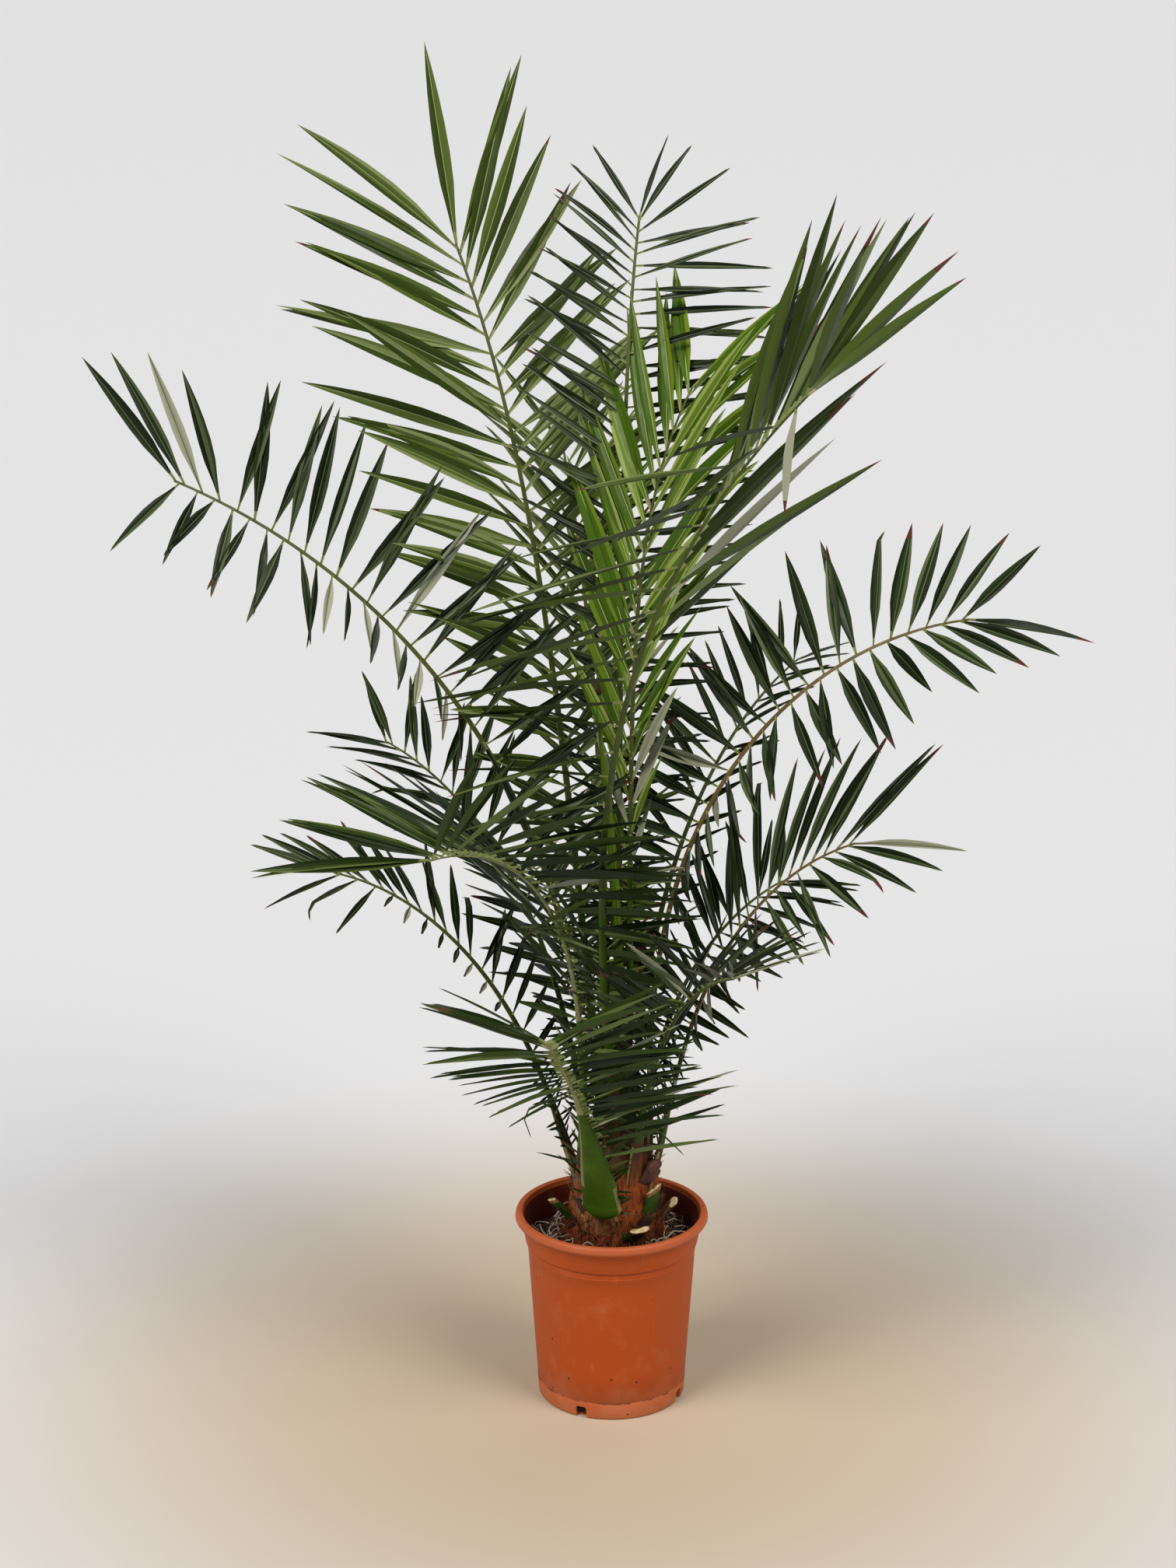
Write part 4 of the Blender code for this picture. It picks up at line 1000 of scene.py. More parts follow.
def make_sheaths():
    """Leaf bases that wrap the trunk like scales, each with a pointed ragged top that stands a
    little off: rust coloured, weathered to straw on one side, green towards the growing point, a
    green darkened as painted shade under the crown."""
    shape = Shape()
    rust, straw, green = 0, 1, 2
    for number in range(SHEATH_COUNT):
        share = number / (SHEATH_COUNT - 1)
        foot = mix(*(SOIL_TOP + height for height in SHEATH_FEET), share)
        middle = 40 + SHEATH_TURN * number
        length = mix(*SHEATH_LENGTHS, share)
        spread = mix(*SHEATH_SPREADS, share)
        weathered = math.cos(math.radians(middle - WEATHERED_SIDE)) > 0.4
        finish = straw if weathered and foot > SOIL_TOP + WEATHERED_FROM else rust
        if foot > DRY_UP_TO - 0.02:
            finish = green
        faces = []
        for thickness in (0, SHEATH_THICKNESS):
            grid = []
            for row in range(SHEATH_ROWS):
                up = row / (SHEATH_ROWS - 1)
                height = foot + length * up
                reach = spread * max(0.05, 1 - up**2.4)
                smooth_radius = along_table(TRUNK_TAPER, height - SOIL_TOP)
                line, grain = [], []
                for column in range(SHEATH_COLUMNS):
                    across = mix(-1, 1, column / (SHEATH_COLUMNS - 1))
                    angle = middle + across * reach
                    ribs = 0.0005 * math.cos(across * 22) + 0.0010 * noise.noise(
                        Vector((across * 5, up * 2, number)))
                    stand = 0.0010 + 0.0042 * up**1.6 * (1 - 0.5 * abs(across)) + ribs
                    radius = trunk_radius(angle, height) * 0.3 + 0.7 * smooth_radius + stand - thickness
                    ragged = 0.004 * noise.noise(Vector((across * 6, number, 0))) * up
                    line.append(trunk_axis(height + ragged) + compass(angle) * radius)
                    grain.append((math.radians(angle) * radius, height))
                grid.append(shape.ring(line, grain))
            faces.append(grid)
        close_sheet(shape, *faces, finish)
    piece("trunk_sheaths", shape, [SHEATH_RUST, SHEATH_STRAW, SHEATH_FRESH_SHADED],
          crease=50)


def close_sheet(shape, outer, inner, finish):
    """Joins two grids of points, one just inside the other, into one closed thin sheet."""
    rows, columns = len(outer), len(outer[0])
    for row in range(rows - 1):
        for column in range(columns - 1):
            corners = ((row, column), (row, column + 1), (row + 1, column + 1), (row + 1, column))
            shape.face([outer[r][c] for r, c in corners], finish)
            shape.face([inner[r][c] for r, c in reversed(corners)], finish)
    rim = [(0, column) for column in range(columns)]
    rim += [(row, columns - 1) for row in range(1, rows)]
    rim += [(rows - 1, column) for column in range(columns - 2, -1, -1)]
    rim += [(row, 0) for row in range(rows - 2, 0, -1)]
    for (r, c), (r2, c2) in zip(rim, rim[1:] + rim[:1]):
        shape.face((outer[r][c], inner[r][c], inner[r2][c2], outer[r2][c2]), finish)


def make_fibres(chance):
    """Loose strands of the leaf-base mat: most lie up the trunk, some stand off and curl, and at
    the foot they hang out over the soil like a skirt."""
    strands = Shape()
    tan, rust, dark = 0, 1, 2
    for number in range(FIBRES):
        angle = chance.uniform(0, 360)
        hanging = number % 3 == 0
        start = SOIL_TOP + chance.uniform(*(SKIRT_FEET if hanging else MAT_FEET))
        length = chance.uniform(*FIBRE_LENGTHS) * (-0.8 if hanging else 1)
        slant = chance.gauss(0, 16)
        stand = chance.uniform(*MAT_STANDS)
        stand += (chance.random() < STRAY_SHARE) * chance.uniform(*STRAY_STANDS)
        if hanging:
            stand = chance.uniform(*SKIRT_STANDS)
        weathered = math.cos(math.radians(angle - WEATHERED_SIDE)) > chance.uniform(0.1, 0.9)
        tone = tan if weathered else rust
        if hanging or start < SOIL_TOP + FOOT_IS_RUST_UP_TO:
            tone = rust
        if chance.random() < DARK_SHARE:
            tone = dark
        points, radii = [], []
        thick = chance.uniform(*FIBRE_RADII)
        for index in range(FIBRE_STEPS + 1):
            share = index / FIBRE_STEPS
            at = angle + slant * share + 5 * math.sin(share * 7 + number)
            height = start + length * share
            radius = trunk_radius(at, height) + 0.0024 + stand * share**2
            spot = trunk_axis(height) + compass(at) * radius
            spot.z = max(spot.z, soil_height(spot.x, spot.y) + thick)
            points.append(spot)
            radii.append(thick * mix(1, 0.35, share))
        tube(strands, points, radii, 4, tone)
    piece("trunk_fibres", strands, [STRAND_TAN, STRAND_RUST, STRAND_DARK])


# angle round the trunk, height above the soil, width and height of each old husk
HUSKS = (
    (-33, 0.086, 0.034, 0.036),
    (-48, 0.030, 0.022, 0.024),
    (206, 0.026, 0.019, 0.017),
    (222, 0.048, 0.016, 0.024),
    (-8, 0.040, 0.018, 0.026),
    (60, 0.060, 0.022, 0.030),
    (150, 0.050, 0.022, 0.028),
    (100, 0.030, 0.020, 0.022),
)
HUSK_CORNERS = 12
HUSK_ROWS = 7
HUSK_BRISTLES = 26
HUSK_BRISTLE_LENGTHS = (0.005, 0.014)
HUSK_BRISTLE_SAG = 0.0015


def make_husks(chance):
    """The ragged dry ends of leaf bases that rotted off: lumpy knobs that bristle with fibre."""
    shape = Shape()
    knob, dark, tan = 0, 1, 2
    for number, (angle, height, width, tall) in enumerate(HUSKS):
        out = compass(angle)
        left = UP.cross(out)
        level = SOIL_TOP + height
        foot = trunk_axis(level) + out * (trunk_radius(angle, level) - 0.002)
        aim = (out * 0.5 + UP).normalized()
        rings = []
        for row in range(HUSK_ROWS + 1):
            share = row / HUSK_ROWS
            spread = math.sin(math.pi * mix(0.28, 0.93, share)) ** 0.7
            ring = []
            for beside, before in turns(HUSK_CORNERS):
                rough = 1 + 0.45 * noise.noise(
                    Vector((beside * 1.6, before * 1.6, share * 3 + number * 9)))
                across = left * beside * width / 2 + out * before * width * 0.32
                ring.append(foot + aim * tall * share + across * spread * rough)
            rings.append(shape.ring(
                ring, [(0.002 * corner, share * tall) for corner in range(HUSK_CORNERS)]))
        shape.loft(rings, knob)
        for _ in range(HUSK_BRISTLES):
            side = chance.uniform(-1, 1)
            start = foot + aim * tall * chance.uniform(0.3, 1) + left * side * width * 0.42
            way = (aim + left * side * 0.8 + out * chance.uniform(-0.2, 0.7)).normalized()
            length = chance.uniform(*HUSK_BRISTLE_LENGTHS)
            bristle(shape, start, way, length, HUSK_BRISTLE_SAG, chance.choice((dark, tan)))
    piece("trunk_husks", shape, [HUSK, STRAND_DARK, STRAND_TAN], crease=60)


# Fronds ----------------------------------------------------------------------------------

LINE_STATIONS = 60
STALK_CORNERS = 14
STALK_RINGS = 54
FOOT_RINGS = ((0.020, 0.24), (0.017, 0.58), (0.011, 0.86), (0.004, 1.02))  # (sunk by, width)
FREE_FOOT = {"bottom_front": 0.044}  # how far above its lowest end the green foot shows
# stalks broader at the foot than the solid's rule: how much, and over how long a way they narrow
BROAD_STALKS = {"bottom_front": (1.14, 0.26)}
GREEN_UP_TO = (0.16, 0.10)  # length of the green stretch, and what a metre of frond adds to it
SHEATH_UP_TO = 0.05
MARGIN_UP_TO = 0.045
MARGIN_FROM_WIDTH = 0.02
MARGIN_CORNERS = (13, 0, 6, 7)  # corners of the dry pale edges of a clasping foot
FLANK_UP_TO = 0.2
FLANK_CORNERS = (5, 7, 8)  # corners of the pale lines that run up a broad stalk's side
CUSHION_SIZES = (0.0031, 0.0010)
CUSHIONS_SHOW_TO = 0.62  # share of the rib

Station = namedtuple("Station", "point along side up")


def frond_line(frond):
    """Stations at equal steps from foot to tip of the frond's arching midrib."""
    step = frond.length / (LINE_STATIONS - 1)
    angle, radius, height = frond.foot
    point = trunk_axis(height) + compass(angle) * radius
    stations = []
    for index in range(LINE_STATIONS):
        share = index / (LINE_STATIONS - 1)
        tilt = math.radians(mix(frond.lean, frond.droop, share**frond.bend))
        out = compass(frond.heading + frond.sweep * share)
        left = UP.cross(out)
        along = out * math.sin(tilt) + UP * math.cos(tilt)
        up = UP * math.sin(tilt) - out * math.cos(tilt)
        turn = math.radians(frond.roll * smooth(share * 2))
        side = left * math.cos(turn) + up * math.sin(turn)
        stations.append(Station(point.copy(), along, side, side.cross(along) * -1))
        point += along * step
    return stations


def station_at(line, share):
    place = min(1, share) * (len(line) - 1)
    index = min(int(place), len(line) - 2)
    first, second = line[index], line[index + 1]
    return Station(*(a.lerp(b, place - index) for a, b in zip(first, second)))


def stalk_width(frond, share):
    slim = mix(STALK_SLIM_WIDTH, RIB_TIP_WIDTH, share**0.9) * mix(STALK_SHORT_SHARE, 1, frond.length)
    broad, narrows_in = BROAD_STALKS.get(frond.name, (1, STALK_NARROWS_IN))
    clasp = frond.width * broad - STALK_SLIM_WIDTH
    return slim + clasp * (1 - smooth(share * frond.length / narrows_in))


def stalk_depth(frond, share):
    rounding = smooth(share * frond.length / STALK_ROUNDS_IN)
    return stalk_width(frond, share) * mix(*STALK_FLATNESS, rounding)


def stalk_outline():
    """(side, up) of a stalk's section: round below, a shallow channel along its upper face."""
    made = []
    for across, height in turns(STALK_CORNERS):
        if height > 0:
            height = height * 0.75 - 0.42 * math.exp(-((across / 0.5) ** 2)) * (height > 0.3)
        made.append((across, height * 0.95))
    return made


STALK_OUTLINE = stalk_outline()


def make_stalk(frond, line, joints):
    """The whole rib of a frond, from its clasping foot to its tip, and the cushion under each
    leaflet. joints holds the (station, direction, share of the rib) of those."""
    shape = Shape()
    green, olive, margin, cushion, sheath = 0, 1, 2, 3, 4
    foot_width, foot_depth = stalk_width(frond, 0), stalk_depth(frond, 0)
    free = FREE_FOOT.get(frond.name, 0) / frond.length
    first = station_at(line, free)
    inward = trunk_axis(first.point.z) - first.point
    inward.z = 0
    inward = inward.normalized()
    spans = []
    for drop, slim in FOOT_RINGS:
        point = first.point - UP * drop + inward * drop * 0.16
        spans.append((first._replace(point=point), foot_width * slim * 1.06, foot_depth * slim, -drop))
    for number in range(STALK_RINGS + 1):
        share = mix(free, frond.tip, (number / STALK_RINGS) ** 1.25)
        shown = share - free * (1 - smooth(share * 2))
        spans.append((station_at(line, share), stalk_width(frond, shown),
                      stalk_depth(frond, shown), shown * frond.length))
    rings = []
    for station, width, depth, travelled in spans:
        ring, grain = [], []
        for across, height in STALK_OUTLINE:
            ring.append(station.point + station.side * across * width / 2
                        + station.up * height * depth / 2)
            grain.append((across * width / 2 + 0.3 * height * depth, travelled))
        rings.append(shape.ring(ring, grain))
    green_length = GREEN_UP_TO[0] + GREEN_UP_TO[1] * frond.length
    for low, high, (_, _, _, travelled) in zip(rings, rings[1:], spans):
        body = green if travelled < green_length else olive
        if travelled < SHEATH_UP_TO and frond.name not in BROAD_STALKS:
            body = sheath
        pale_corners = ()
        if travelled < MARGIN_UP_TO and frond.width > MARGIN_FROM_WIDTH:
            pale_corners = MARGIN_CORNERS
        elif travelled < FLANK_UP_TO and frond.name in BROAD_STALKS:
            pale_corners = FLANK_CORNERS
        shape.join(low, high, [margin if corner in pale_corners else body
                               for corner in range(STALK_CORNERS)])
    shape.face(reversed(rings[0]), green)
    shape.face(rings[-1], olive)
    for station, direction, share in joints:
        size = mix(*CUSHION_SIZES, min(1, share * 1.3))
        middle = station.point + direction * (stalk_width(frond, share) * 0.38 + size * 0.4)
        bead(shape, middle, direction, size, cushion if share < CUSHIONS_SHOW_TO else olive)
    look = LOOKS[frond.look]
    piece(f"{frond.name}_stalk", shape, [look.stalk, look.rib, SHEATH_MARGIN, PULVINUS, SHEATH_RUST],
          [f"frond_{frond.name}_stalk"], crease=60)


def bead(shape, middle, axis, size, finish):
    """A small swollen cushion, longer along its axis."""
    side = axis.orthogonal().normalized()
    other = axis.cross(side)
    rings = []
    for along, spread in ((-0.7, 0.75), (0.5, 0.85)):
        ring = [middle + axis * along * size + (side * across + other * up) * spread * size
                for across, up in turns(6)]
        rings.append(shape.ring(ring, [(0, 0)] * 6))
    ends = shape.ring([middle - axis * size * 1.3, middle + axis * size * 1.3], [(0, 0)] * 2)
    shape.point_up(rings[0], ends[0], finish)
    shape.join(rings[0], rings[1], finish)
    shape.point_up(rings[1], ends[1], finish)


# Leaflets --------------------------------------------------------------------------------

BLADE_SHARES = (0.0, 0.06, 0.16, 0.30, 0.45, 0.60, 0.74, 0.86, 0.94)  # where its rings stand
SPINE_SHARES = (0.0, 0.12, 0.40, 0.75)
WIDEST_AT = 0.40
PINCH = 0.22  # width at the root against the widest
ROOT_FOLD = 1.7  # how much tighter the fold is at the root
BULGE = 0.10  # how far each half bows out, against its width
BOWS_AT = 0.52
KEEL = 0.0005
CORD = 0.0005  # half the width of the pale midline
LEAFLET_ROOT_WIDTH = 0.0036
LEAFLET_WIDTHS = (0.0068, 0.046)  # least width, and what a metre of leaflet adds to it
KINK = -0.7  # radians by which a kinked leaflet breaks over
KINK_SPAN = 0.16
LEANS_BELOW = 0.8  # share of a leaflet that its pair may lean on
SHORTEST_GROWTH = 0.1  # below this share of the rule's length none grows
WEAK_GROWTH = 0.45  # leaflets shorter than this share of the rule's are often bleached
WEAK_BLEACHED = 0.4
RANK_LIFT = 5  # degrees by which every second leaflet stands higher
FACE_LEAN = 0.25  # how far each leaflet's upper face looks in over the rib
PAIR_REACH = 0.8  # cosine of the widest angle over which a leaflet leans on its neighbour
CLEAR_OF_BOX = 0.007  # how far a leaflet's straight reach keeps inside the solids' box
TRIM = 0.96  # by which one that would leave the box is shortened, until it fits

# place of the broken leaflet on a frond's right side, which hangs straight down and has faded,
# and its hang, length and width
BROKEN = {"upper_right": 0.985, "long_right": 0.42}
BROKEN_WITHIN = 0.014
BROKEN_HANG, BROKEN_LENGTH, BROKEN_WIDTH = 0.86, 0.5, 1.5

# how much single leaflets differ
JITTER_ANGLE = 4.5
JITTER_LIFT = 9.0
LENGTHS_VARY = (0.93, 1.03)
HANGS_VARY = (0.6, 1.2)
WIDTHS_VARY = (0.88, 1.1)
FOLDS = (20, 36)
DROOPS = (0.02, 0.16)
BOW = 0.07
TWIST = 18
PAIRED_DROOP, PAIRED_BOW = 0.4, 0.3  # leaflets that lean on one another bend less
KINK_PLACES = (0.5, 0.8)
SCORCHED_LENGTHS = (0.04, 0.2)

SPINE_GAP = 0.011
SPINE_ANGLES = (42, 80)
SPINE_LIFTS = (-5, 45)
SPINE_LENGTH = 0.016  # of the lowest
SPINE_WIDTHS = (0.0034, 0.04)  # least width, and what a metre of spine adds to it
SPINE_FOLD = 34
SPINE_DROOP = 0.02
SPINE_BOW = 0.12
SPINES_SCORCHED = 0.3

# finishes of a frond's leaflets, in the order of its materials
COMMON, DEEP_AND_SHADE, FADED_AND_SHEEN, MIDLINE, ROOT, SCORCH, BLEACH = range(7)
# of the four strips across a leaflet, from its right edge to its left one, and of its back: a deep
# half beside a common one is painted shade on one side of the fold, and a faded strip is partly
# the leaf's grey bloom and partly a painted sheen
STRIPS = (
    (COMMON, COMMON, DEEP_AND_SHADE, DEEP_AND_SHADE, DEEP_AND_SHADE),
    (DEEP_AND_SHADE, DEEP_AND_SHADE, COMMON, COMMON, COMMON),
    (DEEP_AND_SHADE, DEEP_AND_SHADE, DEEP_AND_SHADE, COMMON, DEEP_AND_SHADE),
    (COMMON, FADED_AND_SHEEN, DEEP_AND_SHADE, DEEP_AND_SHADE, DEEP_AND_SHADE),
    (DEEP_AND_SHADE, COMMON, COMMON, FADED_AND_SHEEN, COMMON),
    (DEEP_AND_SHADE, DEEP_AND_SHADE, DEEP_AND_SHADE, DEEP_AND_SHADE, DEEP_AND_SHADE),
    (FADED_AND_SHEEN, COMMON, COMMON, DEEP_AND_SHADE, COMMON),
    (COMMON, FADED_AND_SHEEN, COMMON, FADED_AND_SHEEN, FADED_AND_SHEEN),
    (COMMON, DEEP_AND_SHADE, DEEP_AND_SHADE, DEEP_AND_SHADE, COMMON),
)

Leaflet = namedtuple(
    "Leaflet", "root heading face length width fold droop bow twist kink tones scorched")


def leaflet_length(frond, share):
    rise = mix(FIRST_LEAFLET_SHARE, 1, min(1, share / frond.swell) ** LENGTH_RISE)
    fall = mix(1, TIP_LEAFLET_SHARE, smooth((share - 0.7) / 0.3))
    return frond.leaflet * rise * fall


def blade_breadth(share):
    """A leaflet's width along it: pinched root, broad middle, a drawn-out point."""
    rise = smooth(share / WIDEST_AT)
    fall = 1 - max(0, (share - WIDEST_AT) / (1 - WIDEST_AT)) ** 2
    return mix(PINCH, 1, rise) * fall


def squared_to(heading, face):
    """The face's direction, turned to stand square on the heading."""
    return (face - heading * face.dot(heading)).normalized()


def grow_leaflet(shape, leaf, row_shares=BLADE_SHARES):
    """A leaflet folded along its midline like a gutter: two rounded halves, a pale cord between
    them and a keel below. It hangs under its own weight, and a kinked one breaks over. Returns
    the point that other leaflets of its pair lean on."""
    heading = leaf.heading.copy()
    face = leaf.face
    lean_point = point = leaf.root.copy()
    rings = []
    for share, next_share in zip(row_shares, (*row_shares[1:], 1.0)):
        side = heading.cross(face).normalized()
        up = side.cross(heading)
        turned = Quaternion(heading, leaf.twist * share)
        side, up = turned @ side, turned @ up
        half = LEAFLET_ROOT_WIDTH / 2
        if share:
            half = max(half, leaf.width / 2 * blade_breadth(share))
        half = min(half, leaf.width / 2)
        fold = mix(leaf.fold * ROOT_FOLD, leaf.fold, smooth(share / 0.3))
        out, rise = math.cos(fold) * half, math.sin(fold) * half
        cord = min(CORD, half * 0.2)
        bulge = half * BULGE
        middle_out = out * BOWS_AT - bulge * math.sin(fold) * 0.5
        middle_rise = rise * BOWS_AT + bulge
        ring = [
            point + side * out + up * rise,
            point + side * middle_out + up * middle_rise,
            point + side * cord + up * 0.0001,
            point - side * cord + up * 0.0001,
            point - side * middle_out + up * middle_rise,
            point - side * out + up * rise,
            point - up * KEEL * mix(2.2, 0.6, share),
        ]
        across = (half, half * 0.5, cord, -cord, -half * 0.5, -half, 0)
        rings.append(shape.ring(ring, [(u, share * leaf.length) for u in across]))
        step = leaf.length * (next_share - share)
        bend = step / leaf.length
        heading = heading - UP * leaf.droop * bend * 2 * share + side * leaf.bow * bend
        heading.normalize()
        if leaf.kink and share >= leaf.kink > share - KINK_SPAN:
            heading = Quaternion(side, KINK) @ heading
        if share < LEANS_BELOW:
            lean_point = point + side * half * 0.4
        point = point + heading * step
        face = squared_to(heading, face)
    tip = shape.ring([point], [(0, leaf.length)])[0]

    # the tones dealt here paint shade on one half of the fold and a sheen on some strips
    strips = (*leaf.tones[:2], MIDLINE, *leaf.tones[2:], leaf.tones[1])
    finishes = [ROOT]
    for share in row_shares[1:]:
        scorched = leaf.scorched and share >= 1 - leaf.scorched
        finishes.append(SCORCH if scorched else strips)
    for low, high, finish in zip(rings, rings[1:], finishes):
        shape.join(low, high, finish)
    shape.point_up(rings[-1], tip, finishes[-1])
    shape.face(reversed(rings[0]), ROOT)
    return lean_point


def leaflet_places(frond):
    """(share of the midrib, hand, rank) from the lowest leaflet up; leaflets of rank 1 rise more
    than those of rank -1, and the end one has hand 0."""
    places = []
    for (hand, shift), crowd, gather in zip(PAIR_SHIFTS, frond.crowd, frond.gather):
        count = round(frond.pairs * crowd)
        for index in range(count):
            share = mix(frond.bare, frond.tip, ((index + shift) / count) ** gather)
            places.append((share, hand, (-1, 1)[index % 2]))
    return [*sorted(places), (frond.tip * END_LEAFLET_SHARE, 0, 0)]


def leaflet_heading(station, hand, angle, lift, hang):
    flat = station.side * hand * math.cos(lift) + station.up * math.sin(lift)
    heading = station.along * math.cos(angle) + flat * math.sin(angle)
    return (heading * (1 - hang) - UP * (SAG * 0.5 + hang)).normalized()


def inside_box(point):
    """True if the point lies well within the solids' own box."""
    low, high = solid_box
    beside = all(low[i] + CLEAR_OF_BOX <= point[i] <= high[i] - CLEAR_OF_BOX for i in (0, 1))
    return beside and point[2] <= high[2] - CLEAR_OF_BOX


def make_leaflets(frond, line, chance):
    """All the leaflets of a frond, joined; returns where they leave the rib, for its cushions."""
    look = LOOKS[frond.look]
    shape = Shape()
    joints = []
    neighbour = {1: None, -1: None}
    for share, hand, rank in leaflet_places(frond):
        station = station_at(line, share)
        along_blade = (share - frond.bare) / (frond.tip - frond.bare)
        rows = frond.left if hand > 0 else frond.right
        angle, lift, growth, hang = row_at(rows, along_blade)
        if growth < SHORTEST_GROWTH:
            continue
        if hand:
            angle += chance.uniform(-1, 1) * JITTER_ANGLE
            lift += rank * RANK_LIFT + chance.uniform(-1, 1) * JITTER_LIFT
        length = leaflet_length(frond, along_blade) * growth * chance.uniform(*LENGTHS_VARY)
        hang *= chance.uniform(*HANGS_VARY)
        broken = hand < 0 and abs(along_blade - BROKEN.get(frond.name, 2)) < BROKEN_WITHIN
        if broken:
            hang, length = BROKEN_HANG, length * BROKEN_LENGTH
        outward = hand or -1
        heading = leaflet_heading(station, outward, math.radians(angle), math.radians(lift), hang)
        cant = mix(*frond.cant[hand < 0], along_blade**4)
        face = station.up + station.side * outward * -FACE_LEAN
        face = Quaternion(heading, math.radians(cant) * hand) @ face
        paired = False
        if hand and neighbour[hand] and not broken and chance.random() < look.paired:
            towards = neighbour[hand] - station.point
            if towards.length > 0 and towards.normalized().dot(heading) > PAIR_REACH:
                heading, paired = towards.normalized(), True
        bleached = chance.random() < (WEAK_BLEACHED if growth < WEAK_GROWTH else look.bleached)
        width = (LEAFLET_WIDTHS[0] + LEAFLET_WIDTHS[1] * length) * frond.slim
        leaf = Leaflet(
            root=station.point + heading * stalk_width(frond, share) * 0.35,
            heading=heading,
            face=squared_to(heading, face),
            length=length,
            width=width * chance.uniform(*WIDTHS_VARY) * (BROKEN_WIDTH if broken else 1),
            fold=math.radians(chance.uniform(*FOLDS) * frond.flat),
            droop=chance.uniform(*DROOPS) * (PAIRED_DROOP if paired else 1),
            bow=chance.uniform(-BOW, BOW) * (PAIRED_BOW if paired else 1),
            twist=math.radians(chance.gauss(0, TWIST)),
            kink=chance.uniform(*KINK_PLACES) if chance.random() < look.kinked else 0,
            tones=(BLEACH,) * 5 if bleached or broken else chance.choice(STRIPS),
            scorched=chance.uniform(*SCORCHED_LENGTHS) if chance.random() < look.scorched else 0,
        )
        while not inside_box(leaf.root + leaf.heading * leaf.length):
            leaf = leaf._replace(length=leaf.length * TRIM)
        lean_point = grow_leaflet(shape, leaf)
        if hand:
            neighbour[hand] = None if paired else lean_point
        joints.append((station, heading, share))
    add_spines(shape, frond, line, chance)
    names = [f"frond_{frond.name}_blade"]
    if frond.parts > 1:
        names = [f"{names[0]}_{part + 1}" for part in range(frond.parts)]
    piece(f"{frond.name}_leaflets", shape,
          [*BLADES[frond.look], LEAFLET_ROOT, SCORCHED_TIP, BLEACHED],
          names, crease=24)
    return joints


def add_spines(shape, frond, line, chance):
    """Short stiff leaflets that stand like a comb on the stalk below the blade, and lengthen
    towards it."""
    count = max(4, round(frond.bare * frond.length / SPINE_GAP))
    longest = max(0.05, frond.leaflet * FIRST_LEAFLET_SHARE * 1.2)
    for index in range(count):
        for hand in (1, -1):
            share = frond.bare * mix(0.25, 1.02, (index + 0.5 + 0.25 * hand) / count)
            station = station_at(line, share)
            angle = math.radians(chance.uniform(*SPINE_ANGLES))
            lift = math.radians(chance.uniform(*SPINE_LIFTS))
            heading = leaflet_heading(station, hand, angle, lift, chance.uniform(0, 0.2))
            length = mix(SPINE_LENGTH, longest, (share / frond.bare) ** 1.5)
            leaf = Leaflet(
                root=station.point + station.side * hand * stalk_width(frond, share) * 0.32,
                heading=heading,
                face=squared_to(heading, station.up),
                length=length * chance.uniform(0.75, 1.3),
                width=SPINE_WIDTHS[0] + SPINE_WIDTHS[1] * length,
                fold=math.radians(SPINE_FOLD),
                droop=SPINE_DROOP,
                bow=chance.uniform(-SPINE_BOW, SPINE_BOW),
                twist=0,
                kink=0,
                tones=chance.choice(STRIPS),
                scorched=0.3 if chance.random() < SPINES_SCORCHED else 0,
            )
            grow_leaflet(shape, leaf, SPINE_SHARES)


def make_fronds():
    for number, frond in enumerate(FRONDS):
        line = frond_line(frond)
        joints = make_leaflets(frond, line, random.Random(SEED + number))
        make_stalk(frond, line, joints)


# Spear and stumps ------------------------------------------------------------------------

SPEAR_SIDES = 20
SPEAR_ROWS = 30
SPEAR_TAPER = ((0, 0.55), (0.12, 0.9), (0.45, 1.0), (0.8, 0.7), (1, 0.12))
SPEAR_PLEAT = 0.78
GREEN_STUBS = ("stub_left", "stub_right", "stub_front")
STUB_TAPER = ((-0.6, 1.0), (0, 1.15), (0.5, 1.0), (1.0, 0.92))
STUB_SIDES = 26
STUB_ROWS = 14
STUB_HUSK_ROWS = 5
STUB_BRISTLES = 34
STUB_BRISTLE_LENGTHS = (0.006, 0.018)
STUB_BRISTLE_SAG = 0.002
PITH_RIM = (0.86, 0.0003)  # how narrow the pith's edge is against the skin's, and how far sunk
PITH_MIDDLE = 0.45
PITH_SUNK = (0.0008, 0.0022)


def make_spear():
    """The unopened frond: leaflets still pressed together in a pleated blade."""
    shape = Shape()
    foot = trunk_axis(SOIL_TOP + TRUNK_TAPER[-1][0] - SPEAR_SINK)
    rings = []
    for row in range(SPEAR_ROWS + 1):
        share = row / SPEAR_ROWS
        middle = foot + UP * SPEAR_LENGTH * share + Vector((*SPEAR_LEAN, 0)) * share**2
        radius = SPEAR_WIDTH / 2 * along_table(SPEAR_TAPER, share)
        ring = []
        for number, (across, back) in enumerate(turns(SPEAR_SIDES)):
            pleated = radius * (1 if number % 2 else SPEAR_PLEAT)
            ring.append(middle + Vector((across * pleated, back * pleated * 0.8, 0)))
        grain = [(0.002 * number, share * SPEAR_LENGTH) for number in range(SPEAR_SIDES)]
        rings.append(shape.ring(ring, grain))
    # every second face of the pleats takes the deep tone: painted shade on one side of each fold
    shape.loft(rings, (0, 1))
    piece("spear_leaf", shape, BLADES["young"][:2], ["spear"], crease=30)


